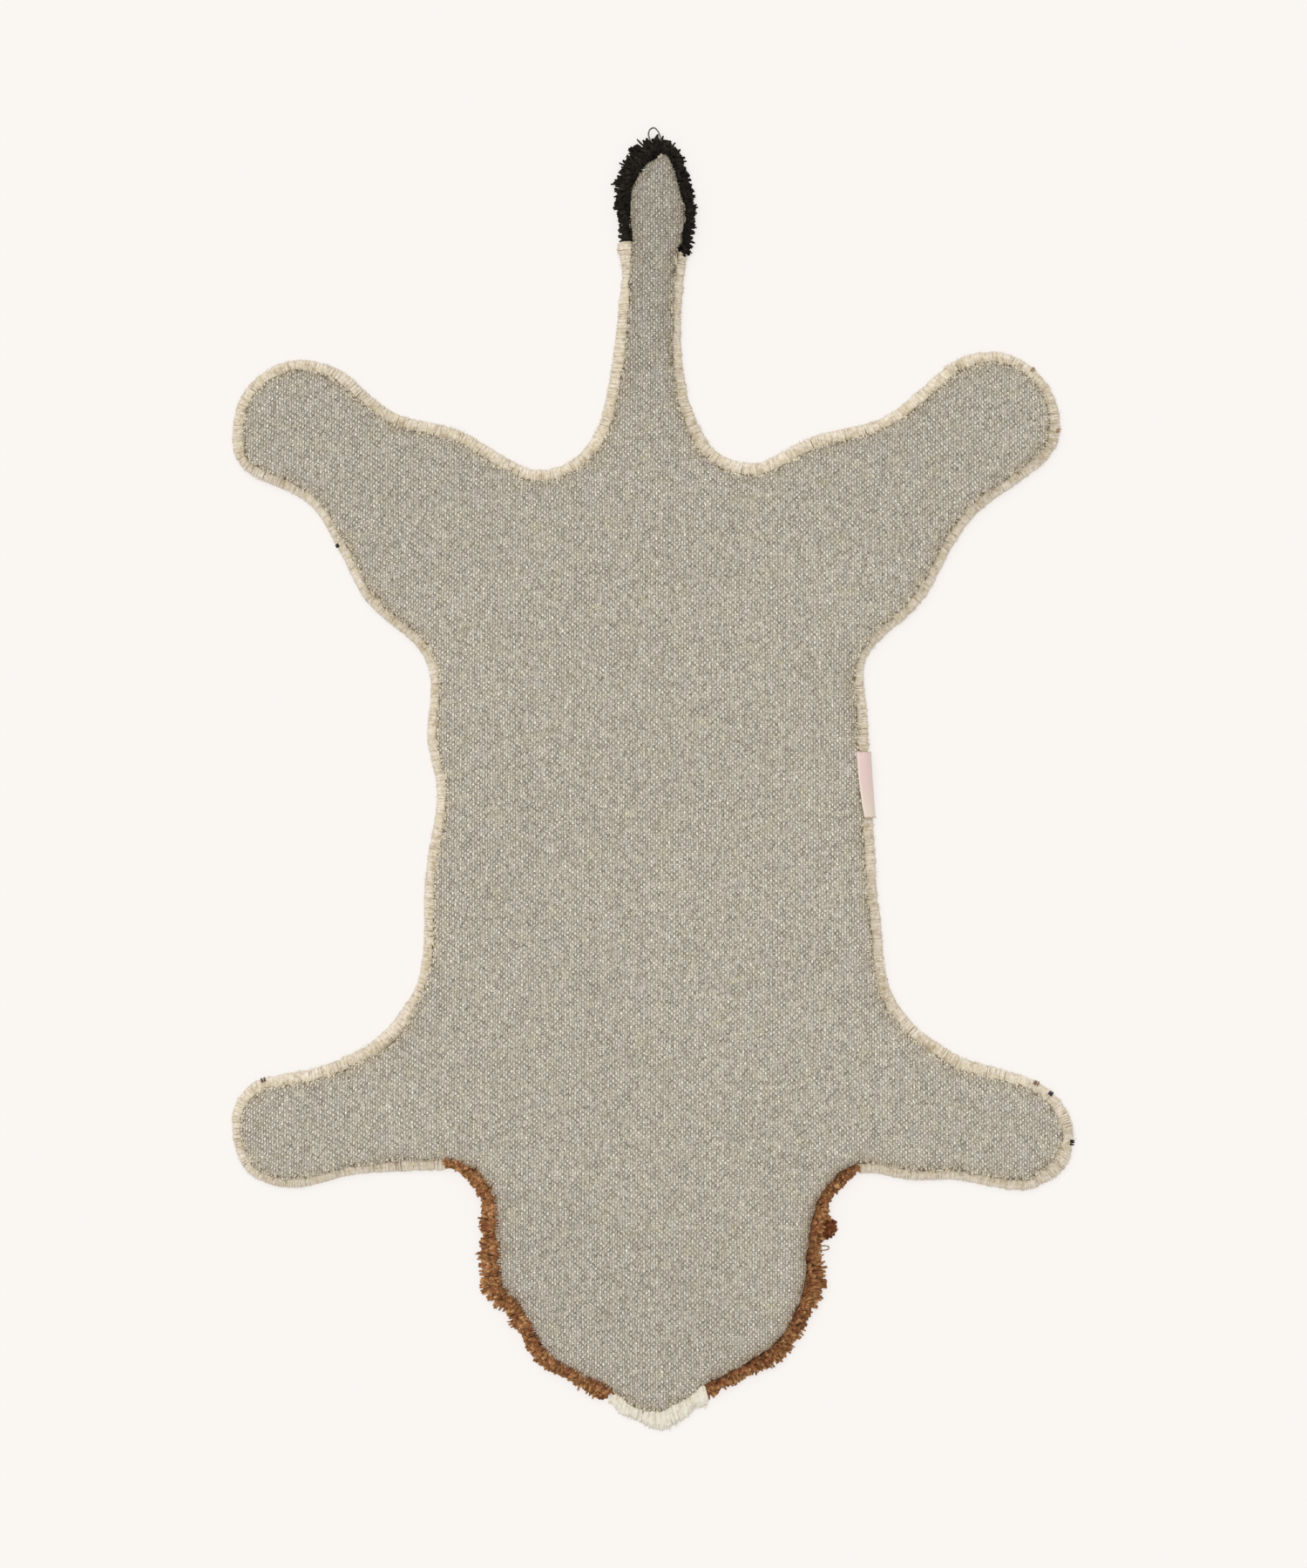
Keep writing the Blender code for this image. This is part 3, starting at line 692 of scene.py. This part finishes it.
def cut_ends(number, yarn, row, shift):
    """Paths of one row of cut yarns. A yarn starts under the canvas, goes out evenly, and falls
    with its way to the power FALL_POWER. Yarns of one bundle lean alike. The uppermost rows of
    shaggy yarn start on the canvas and lap over its edge."""
    count = int(RIM_LENGTH / (row.pitch * MM))
    jitter = chance.uniform(-PLACE_JITTER, PLACE_JITTER, count)
    at = (np.arange(count) + shift + jitter) * RIM_LENGTH / count
    step = (at / EDGE_SPACING).astype(int) % len(rim_line)
    mine = rim_owner[step] == number
    at, step = at[mine], step[mine]
    count = len(at)
    bundles = int(RIM_LENGTH / (yarn.bundle * MM)) + 2
    place = at / (yarn.bundle * MM) + 0.25 * np.sin(at / (7.3 * MM))
    luck = chance.uniform(-1, 1, (3, bundles))[:, place.astype(int) % bundles]
    out = rim_outward[step] * (1 - yarn.fall) - np.array((0, yarn.fall, 0))
    out /= np.linalg.norm(out, axis=1)[:, None]
    along = np.stack((-out[:, 1], out[:, 0], out[:, 2]), axis=1)
    own = 1 + chance.normal(0, OWN_RAGGED * row.ragged, count) + BUNDLE_RAGGED * row.ragged * luck[0]
    reach = rim_reach[step] * row.reach * np.clip(own, *REACH_SHARES)
    thick = row.thickness * MM * chance.uniform(*THICKNESS_SHARES, count) / 2
    lap = np.full(count, ROOT_INSET)
    if row.depth < LAPPING:
        lap = np.interp(rim_line[step, 0], (LAP_LEFT, LAP_RIGHT), yarn.lap) * MM - rim_cut[step]
    start = rim_line[step] - out * lap[:, None]
    start[:, 2] -= CANVAS_THICKNESS + ROOT_GAP + row.depth * MM + thick
    tip = row.tip * MM * (1 + 0.12 * luck[1] + chance.normal(0, 0.1, count))
    tip = np.maximum(tip, thick * 1.3)
    lean = (yarn.lean * luck[2] + chance.normal(0, 0.8 * yarn.lean, count)) * MM
    t = np.linspace(0, 1, TUBE_STEPS)[None, :, None]
    sway = chance.normal(0, 0.2, (count, 1, 1)) * MM * np.sin(2 * np.pi * t)
    paths = (
        start[:, None]
        + out[:, None] * (reach + lap)[:, None, None] * t
        + along[:, None] * (lean[:, None, None] * t**2 + sway)
    )
    paths[..., 2] += (tip - start[:, 2])[:, None] * t[..., 0] ** FALL_POWER
    shares = np.linspace(0, 1, TUBE_STEPS)
    swell = np.interp(shares, *SWELL)
    turn = chance.uniform(0, np.pi, (count, 1)) + shares * np.pi * reach[:, None] / PLY_LENGTH
    return paths, along, thick[:, None] * swell, turn, chance.random(count)


def yarn_finish(name, light, middle, dark, cast=None, shadow=1.0, sheen=0.0):
    """Matte spun yarn. Each yarn has its own tone, dark to light, and is mottled along its length
    and over wider patches, some of them of another cast. It has painted shade where it comes out
    from under the canvas, in places more than in others, a little painted shade in the grooves
    between its plies, and painted light that makes it paler towards its tip."""
    finish = Finish(name, Roughness=0.95, Sheen_Weight=sheen, Sheen_Roughness=0.6, Specular_IOR_Level=0.1)
    kept = finish.node("Attribute", (), out="Vector", attribute_name="yarn")
    tone, share, ply = (finish.node("SeparateXYZ", (kept,), out=axis) for axis in "XYZ")
    spot = finish.place()[3]
    fibre = finish.noise(spot, 0.9 * MM, 3.0)
    clump = finish.noise(spot, 3.2 * MM)
    wide = finish.noise(spot, 14 * MM)
    # Painted light: paler towards the tip, as where the thin ends are lit through against the floor.
    painted_tip_light = share.ease(0.35, 1.02) * 0.26
    # In the mix, ply adds a little painted shade in the grooves between the plies. The rest is the yarn's
    # own mottling.
    mix = tone * 0.3 + fibre * 0.7 + clump * 1.1 + wide * 0.5 + ply * 0.05 + painted_tip_light - 0.96
    colour = finish.blend(mix.ease(0.0, 0.55), shade(*dark), shade(*middle))
    colour = finish.blend(mix.ease(0.45, 1.0), colour, shade(*light))
    other = finish.noise(spot, 8 * MM, 3.0).ease(0.5, 0.7) * 0.4
    colour = finish.blend(other, colour, shade(*(cast or middle)))
    # Painted shade where the yarn comes out from under the canvas, broken into patches.
    broken = finish.noise(spot, 5 * MM)
    patchy = (0.25 + broken.ease(0.36, 0.62) * 1.6) * (1 - shadow)
    root = 1 - (1 - (share - broken * 0.16).ease(0.12, 0.36)) * patchy
    finish.feed("Base Color", finish.tint(colour, root))
    finish.relief(fibre + ply * 0.2, 0.3 * MM)
    return finish.material


for yarn_number, (yarn_name, yarn) in enumerate(YARNS.items()):
    yarn_material = yarn_finish(
        yarn_name + "_yarn", yarn.light, yarn.middle, yarn.dark, yarn.cast, yarn.shadow, yarn.sheen
    )
    for row_number, row in enumerate(yarn.rows):
        row_parts = cut_ends(yarn_number, yarn, row, 0.5 * (row_number % 2))
        row_name = f"{yarn_name}_rim_row_{row_number + 1}"
        row_sides = FIBRE_SIDES if row.thickness < FIBRE else TUBE_SIDES
        row_piece = add_yarns(row_name, *row_parts, yarn_material, row_sides)

# ---- The pile's face
# The cut yarn between the canvas and the floor. It is a brush pressed flat by the rug's weight,
# with a small crown for each tuft, and it is what shows dark between the yarns of the rim.

TUFT_STEP = 3.2 * MM
TUFT_DEPTH = 1.1 * MM
TUFT_SCATTER = 0.25 * MM
FOOT = 0.15 * MM
ROOF_STEP = 30 * MM
ROOF_MARGIN = 9 * MM
Fold = namedtuple("Fold", "reach height")
FACE_RINGS = (Fold(-0.20, 0.80), Fold(0.12, 0.62), Fold(0.34, 0.30), Fold(0.42, 0.08))


def lower_outline(node):
    """The outline of a CAD pile's foot on the floor, clockwise as seen from below."""
    corners = corners_of(node)
    foot, triangles = joined(corners[(corners[:, :, 2] < 0.01 * MM).all(axis=1)])
    return foot[outline(triangles)][::-1]


def face_surface(node):
    """A closed slab. Its rings start under the canvas, go out below the rim's yarns and in again
    at the floor. The foot is a grid of triangles on which one point in three is a tuft's crown."""
    foot = lower_outline(node)
    closest, _ = nearest(foot, rim_line)
    edge, out = rim_line[closest], rim_outward[closest]
    past = ((foot - edge) * out).sum(axis=1) > 0.5 * MM
    rings = []
    for fold in FACE_RINGS:
        ring = foot.copy()
        ring[past, :2] = (edge + out * (fold.reach * rim_reach[closest])[:, None])[past, :2]
        ring[:, 2] = fold.height * (lie(ring) - CANVAS_THICKNESS)
        rings.append(ring)
    count = len(foot)
    low, high = foot[:, :2].min(axis=0), foot[:, :2].max(axis=0)
    grid, place = hexagon_grid(low, high, TUFT_STEP)
    within = inside(grid, rings[-1])
    grid, place = grid[within], place[within]
    clear = nearest(grid, rings[-1])[1] > 0.7 * TUFT_STEP
    grid, place = grid[clear], place[clear]
    crown = (place[:, 0] + place[:, 1] * 2 - place[:, 1] // 2) % 3 == 0
    dip = np.where(crown, 0, TUFT_DEPTH * chance.uniform(0.7, 1.2, len(grid)))
    grid = grid + chance.normal(0, TUFT_SCATTER, grid.shape)
    field = np.column_stack((grid, FOOT + dip))
    roof, _ = hexagon_grid(low, high, ROOF_STEP)
    roof = roof[inside(roof, rings[0])]
    roof = roof[nearest(roof, rings[0])[1] > ROOF_MARGIN]
    roof = np.column_stack((roof, FACE_RINGS[0].height * (lie(roof) - CANVAS_THICKNESS)))
    spots = np.concatenate((*rings, field, roof))
    last_ring = (len(rings) - 1) * count
    under = fill_outline(rings[-1], field)[:, ::-1] + last_ring
    over = fill_outline(rings[0], roof)
    over = np.where(over < count, over, over + last_ring + len(field))
    around = np.arange(count)
    after = np.roll(around, -1)
    walls = [over, under]
    for upper in range(0, last_ring, count):
        lower = upper + count
        walls.append(np.stack((around + upper, around + lower, after + lower), axis=1))
        walls.append(np.stack((around + upper, after + lower, after + upper), axis=1))
    return spots, np.concatenate(walls)


def face_finish(name, light, dark):
    """Cut ends of yarn packed side by side: each cell is one end, with painted shade at its border."""
    finish = Finish(name, Roughness=0.95, Sheen_Weight=0.2, Specular_IOR_Level=0.2)
    spot = finish.place()[3]
    border = finish.node("TexVoronoi", {"Vector": spot, "Scale": 1 / (2.1 * MM)})
    tone = finish.noise(spot, 3 * MM, 3.0)
    # Painted shade at each cell's border, between the packed ends.
    mix = (1 - border.ease(0.2, 0.75)) * 0.7 + tone * 0.4
    finish.feed("Base Color", finish.blend(mix.ease(0.2, 0.95), shade(*dark), shade(*light)))
    finish.relief(1 - border, 0.6 * MM)
    return finish.material


for yarn_name, yarn in YARNS.items():
    face = add_surface(yarn_name + "_face", *face_surface(yarn.node))
    face_light = np.add(yarn.light, yarn.middle) / 2
    face.data.materials.append(face_finish(yarn_name + "_ends", face_light, yarn.dark))
    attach(face, "root")
    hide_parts(yarn.node)

# ---- Claws and loose yarns
# Small dark tufts for the claws, set into the pile of the paws. Two ends of grey yarn stand out
# of it as loops, at the tail's tip and on the mane, and one clump of rust yarn beside the mane's.

Claw = namedtuple("Claw", "place x y colour")
CLAWS = (
    Claw("right forepaw, top", 295, -227, (120, 100, 82)),
    Claw("right forepaw, corner", 306, -237, (64, 62, 66)),
    Claw("right forepaw, end", 324, -275, (48, 40, 34)),
    Claw("left forepaw, top", -300, -227, (86, 76, 64)),
    Claw("left hock", -241, 183, (52, 48, 42)),
    Claw("right hind paw", 293, 320, (138, 122, 98)),
    Claw("right hind paw, end", 308, 271, (158, 130, 112)),
)
Loop = namedtuple("Loop", "name slot colour thickness points")
LOOPS = (
    Loop("tail_loop", "pile_black", (104, 98, 94), 1.3, (
        (6.2, 492, 5), (5.6, 496, 6.5), (3.6, 500.6, 7.2), (0.8, 503, 7), (-2.2, 501.8, 6.2),
        (-3.4, 498.6, 5.4), (-2.6, 495, 4.8), (-0.6, 492, 4.6),
    )),
    Loop("mane_loop", "pile_rust", (122, 108, 92), 1.1, (
        (128.6, -355.4, 5), (132, -354.6, 6), (134.7, -355.4, 6), (134.6, -357.1, 5.2),
        (132, -358, 4.6), (128.8, -357.6, 4.4),
    )),
)
CLAW_YARNS = 3
CLAW_RADIUS = 0.62 * MM
CLAW_SCATTER = 0.25 * MM
CLAW_SPAN = (0.76, 1.10)
CLAW_HEIGHTS = (7.6 * MM, 6.8 * MM, 5.6 * MM, 4.2 * MM)
TONES = (1.5, 1.2, 0.85)
LOOSE_TIP = 0.8


def tones(colour):
    """The light, middle and dark shades of a single yarn."""
    return ([tone * part for part in colour] for tone in TONES)


def over_rim(place, count, span, heights):
    """Paths side by side over the rim at a place, from one share of its reach to another."""
    step = (nearest(np.array([place]), rim_line)[0][0] + np.arange(count) - count // 2) % len(rim_line)
    out = rim_outward[step]
    t = np.linspace(0, 1, TUBE_STEPS)
    reach = rim_reach[step, None] * np.interp(t, (0, 1), span)
    paths = rim_line[step][:, None] + out[:, None] * reach[..., None]
    paths[..., 2] = np.interp(t, np.linspace(0, 1, len(heights)), heights)
    return paths, np.stack((-out[:, 1], out[:, 0], out[:, 2]), axis=1)


def add_short_yarns(name, paths, side, radius, tip, finish):
    """Untwisted yarns as one piece. Each thins evenly to the tip's share of its radius."""
    radii = np.tile(radius * np.linspace(1, tip, TUBE_STEPS), (len(paths), 1))
    return add_yarns(name, paths, side, radii, np.zeros(radii.shape), chance.random(len(paths)), finish)


for claw_number, mark in enumerate(CLAWS):
    claw_place = (mark.x * MM, mark.y * MM)
    claw_paths, claw_sides = over_rim(claw_place, CLAW_YARNS, CLAW_SPAN, CLAW_HEIGHTS)
    claw_paths += chance.normal(0, CLAW_SCATTER, (CLAW_YARNS, 1, 3))
    claw = add_short_yarns(
        f"claw_{claw_number + 1}", claw_paths, claw_sides, CLAW_RADIUS, LOOSE_TIP,
        yarn_finish(f"claw_yarn_{claw_number + 1}", *tones(mark.colour)),
    )

for loop in LOOPS:
    loop_path = smooth_loop(np.array(loop.points) * MM, 0.6 * MM)[None]
    loop_steps = loop_path.shape[1]
    loop_piece = add_yarns(
        loop.name, loop_path, np.array([[0, 0, 1.0]]),
        np.full((1, loop_steps), loop.thickness / 2 * MM),
        np.linspace(0, 12, loop_steps)[None], np.array([0.6]),
        yarn_finish(loop.name + "_yarn", *tones(loop.colour)),
    )

# One clump of darker rust yarn stands out of the mane's right side.
CLUMP_PLACE = (135 * MM, -341.5 * MM)
CLUMP_YARNS = 70
CLUMP_SIZE = 10 * MM
CLUMP_TOP = 10 * MM
CLUMP_RADIUS = 1.3 * MM
CLUMP_FAN = 95
CLUMP_ROOT = 2.5 * MM
CLUMP_DROOP = 2.2 * MM


def clump_of_yarn():
    """Short paths that fan out from one place: each turns from straight up to level by its own
    share, as many degrees to either side as CLUMP_FAN, and droops with the square of its way."""
    step = nearest(np.array([CLUMP_PLACE]), rim_line)[0][0]
    out = rim_outward[step]
    along = np.array((-out[1], out[0], 0))
    turn = np.radians(chance.uniform(-CLUMP_FAN, CLUMP_FAN, CLUMP_YARNS))[:, None]
    level = chance.uniform(0.35, 1.0, CLUMP_YARNS)[:, None]
    way = (out * np.cos(turn) + along * np.sin(turn)) * level
    t = np.linspace(0, 1, TUBE_STEPS)[:, None]
    size = CLUMP_SIZE * chance.uniform(0.82, 1.02, (CLUMP_YARNS, 1, 1))
    centre = np.array((*CLUMP_PLACE, 0)) - out * CLUMP_ROOT
    paths = centre + way[:, None] * size * t
    rise = CLUMP_TOP * (0.45 + 0.4 * np.sqrt(1 - level**2))
    height = rise * (0.55 + 0.45 * np.sin(np.pi * t[:, 0] ** 0.8)) - level * CLUMP_DROOP * t[:, 0] ** 2
    paths[..., 2] = np.maximum(height, CLUMP_RADIUS)
    return paths, np.cross(way, (0, 0, 1.0))


clump_paths, clump_sides = clump_of_yarn()
clump_piece = add_short_yarns(
    "mane_clump", clump_paths, clump_sides, CLUMP_RADIUS, LOOSE_TIP,
    yarn_finish("clump_yarn", (160, 96, 58), (98, 52, 28), (44, 22, 14)),
)

# ---- The label
# A short woven tape, tacked down at both ends. It lies on the canvas at its top and slips over the
# rim towards its bottom. Its face is left bare.

# The width is laid out along the canvas and rim under the tape.
LABEL_WIDTH = 12.0 * MM
LABEL_LIFT = 1.3 * MM
LABEL_THICKNESS = 0.9 * MM
LABEL_HEM = 3.2 * MM
LABEL_LENGTH = label_high[1] - label_low[1] + LABEL_HEM
LABEL_START_TOP = -0.9 * MM
LABEL_START_BOTTOM = 2.2 * MM
LABEL_ROWS, LABEL_COLUMNS = 64, 20
FLANK_SPAN = 80 * MM
# The section that the tape lies on: how far in over the canvas it starts, how far out it goes,
# and its points as shares of that reach and of the canvas edge's height.
TAPE_INLAND = 8 * MM
TAPE_OUT = 9 * MM
TAPE_REACHES = (0, 0.3, 0.55, 0.78, 0.92, 1.0, 1.02)
TAPE_HEIGHTS = (1, 0.95, 0.86, 0.70, 0.52, 0.30, 0.04)


def label_surface():
    """A grid of rows along the tape and columns across it. A column's distance from the canvas
    edge is measured over the rim's section, and each row starts further out with the square of
    its share of the length. Both sides stand off the section along its normal."""
    flank = rim_line[beside_label & (np.abs(rim_line[:, 1]) < FLANK_SPAN)]
    flank = flank[np.argsort(flank[:, 1])]
    share = np.linspace(0, 1, LABEL_ROWS)
    y = label_low[1] + LABEL_LENGTH * (1 - share)
    edge_x = np.interp(y, flank[:, 1], flank[:, 0])
    top = np.interp(y, flank[:, 1], flank[:, 2]).mean() - EDGE_DROP
    reaches = np.append(-TAPE_INLAND, np.array(TAPE_REACHES) * TAPE_OUT)
    heights = np.append(top + 0.9 * EDGE_DROP, np.array(TAPE_HEIGHTS) * top)
    lengths = np.append(0, np.cumsum(np.hypot(np.diff(reaches), np.diff(heights)))) - TAPE_INLAND
    start = LABEL_START_TOP + (LABEL_START_BOTTOM - LABEL_START_TOP) * share**2
    column = np.linspace(0, LABEL_WIDTH, LABEL_COLUMNS)
    along = start[:, None] + column
    reach, height = np.interp(along, lengths, reaches), np.interp(along, lengths, heights)
    lift = LABEL_LIFT + 0.25 * MM * np.sin(7 * share + 1)[:, None] * np.sin(np.pi * column / LABEL_WIDTH)
    slope = np.gradient(np.stack((reach, height)), axis=2)
    for _ in range(3):
        slope[:, :, 1:-1] = (slope[:, :, :-2] + slope[:, :, 1:-1] + slope[:, :, 2:]) / 3
    slope /= np.linalg.norm(slope, axis=0)
    sides = []
    for stand in (lift, lift + LABEL_THICKNESS):
        x = edge_x[:, None] + reach - slope[1] * stand
        z = height + slope[0] * stand
        sides.append(np.stack((x, np.broadcast_to(y[:, None], x.shape), z), axis=2))
    return np.stack(sides)


def close_slab(sides):
    """Triangles over both grids of points of a slab, and round its rim."""
    _, rows, columns, _ = sides.shape
    number = np.arange(2 * rows * columns).reshape(2, rows, columns)

    def quads(a, b, c, d):
        corners = [each.ravel() for each in (a, b, c, a, c, d)]
        return np.stack(corners, axis=1).reshape(-1, 3)

    lower, upper = number
    rim = [np.concatenate((side[0], side[1:, -1], side[-1, -2::-1], side[-2:0:-1, 0])) for side in number]
    return np.concatenate((
        quads(upper[:-1, :-1], upper[1:, :-1], upper[1:, 1:], upper[:-1, 1:]),
        quads(lower[:-1, :-1], lower[:-1, 1:], lower[1:, 1:], lower[1:, :-1]),
        quads(rim[0], rim[1], np.roll(rim[1], -1), np.roll(rim[0], -1)),
    ))


def label_finish():
    """Fine ribbed tape: pink above and beige below, with a paler woven selvedge."""
    finish = Finish("label_tape", Roughness=0.7, Sheen_Weight=0.3, Specular_IOR_Level=0.3)
    x, y, z, spot = finish.place()
    rib = (y / (0.55 * MM)).off_middle() * 2
    cord = ((x - z) / (0.5 * MM)).off_middle() * 2
    fade = (y / MM).ease(-24, 4)
    colour = finish.blend(fade, shade(240, 224, 204), shade(242, 212, 206))
    soft = finish.noise(spot, 6 * MM)
    across = finish.node("Attribute", (), out="Fac", attribute_name="across")
    woven = across.off_middle().ease(0.36, 0.42)
    colour = finish.blend(woven * 0.6, colour, shade(248, 238, 228))
    finish.feed("Base Color", finish.tint(colour, 0.86 + rib * 0.05 + cord * 0.04 + soft * 0.12))
    finish.relief(rib * 0.7 + cord * 0.3, 0.15 * MM)
    return finish.material


STITCHES = 5
STITCH_LENGTH = 1.2 * MM
STITCH_RADIUS = 0.28 * MM
STITCH_ARCH = 0.5 * MM
STITCH_SINK = 0.35 * MM
STITCH_START, STITCH_END = -0.6, 0.4


def stitch_paths(sides):
    """Short arches of thread over both ends of the tape, half on it and half past its end. They
    rise with the sine of their way."""
    upper = sides[1]
    columns = np.linspace(2, upper.shape[1] - 4, STITCHES).astype(int)
    spots = np.concatenate((upper[0, columns], upper[-1, columns]))
    way = np.repeat(((0, 1.0, 0), (0, -1.0, 0)), STITCHES, axis=0)
    t = np.linspace(STITCH_START, STITCH_END, TUBE_STEPS)[:, None]
    paths = spots[:, None] + way[:, None] * STITCH_LENGTH * t
    paths[..., 2] += STITCH_ARCH * np.sin(np.pi * (t[:, 0] - STITCH_START)) - STITCH_SINK
    return paths, np.tile((1.0, 0, 0), (len(spots), 1))


label_sides = label_surface()
label = add_surface("label_tape", label_sides.reshape(-1, 3), close_slab(label_sides))
keep(label, "across", np.tile(np.linspace(0.001, 0.999, LABEL_COLUMNS), 2 * LABEL_ROWS))
label.data.materials.append(label_finish())
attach(label, "root")
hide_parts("label")

stitch_ways, stitch_sides = stitch_paths(label_sides)
stitches = add_short_yarns(
    "label_stitches", stitch_ways, stitch_sides, STITCH_RADIUS, 1,
    yarn_finish("stitch_thread", (232, 212, 196), (212, 186, 168), (170, 142, 124)),
)

# ---- The floor, the light and the camera
# A plain pale floor that glows a little, as on a light table, under an even sky and one wide
# soft light. The camera is straight above, as for the photograph.

FLOOR_SIZE = 40.0
FLOOR_COLOUR = (0.950, 0.916, 0.890)
FLOOR_GLOW = 0.70
SKY_LIGHT = 0.62
SOFT_LIGHT = 0.455
SOFT_LIGHT_WIDTH = 1.2
SOFT_LIGHT_TURN = (-20, -14, 0)
PHOTO_HEIGHT = 1.2048
PHOTO_CENTRE = (0.4 * MM, -0.3 * MM)
LENS = 120.0
SENSOR = 36.0

floor_corners = np.array([(-1, -1, 0), (1, -1, 0), (1, 1, 0), (-1, 1, 0)]) * FLOOR_SIZE / 2
floor = add_surface("floor", floor_corners, np.array([(0, 1, 2), (0, 2, 3)]))
floor_plain = {
    "Base_Color": (*(part * (1 - FLOOR_GLOW) for part in FLOOR_COLOUR), 1),
    "Emission_Color": (*FLOOR_COLOUR, 1),
    "Emission_Strength": FLOOR_GLOW,
    "Roughness": 0.9,
    "Specular_IOR_Level": 0.0,
}
floor.data.materials.append(Finish("floor", **floor_plain).material)

world = bpy.data.worlds.new("studio")
bpy.context.scene.world = world
world.use_nodes = True
world.node_tree.nodes["Background"].inputs["Color"].default_value = (1, 1, 1, 1)
world.node_tree.nodes["Background"].inputs["Strength"].default_value = SKY_LIGHT

lamp = bpy.data.lights.new("soft_light", "SUN")
lamp.energy = SOFT_LIGHT * np.pi
lamp.angle = SOFT_LIGHT_WIDTH
lamp_item = bpy.data.objects.new("soft_light", lamp)
lamp_item.rotation_euler = np.radians(SOFT_LIGHT_TURN)
bpy.context.scene.collection.objects.link(lamp_item)
bpy.context.scene.view_settings.view_transform = "Standard"

camera_data = bpy.data.cameras.new("camera")
camera_data.lens = LENS
camera_data.sensor_width = SENSOR
camera = bpy.data.objects.new("camera", camera_data)
camera.location = (*PHOTO_CENTRE, PHOTO_HEIGHT * LENS / SENSOR)
bpy.context.scene.collection.objects.link(camera)
bpy.context.scene.camera = camera
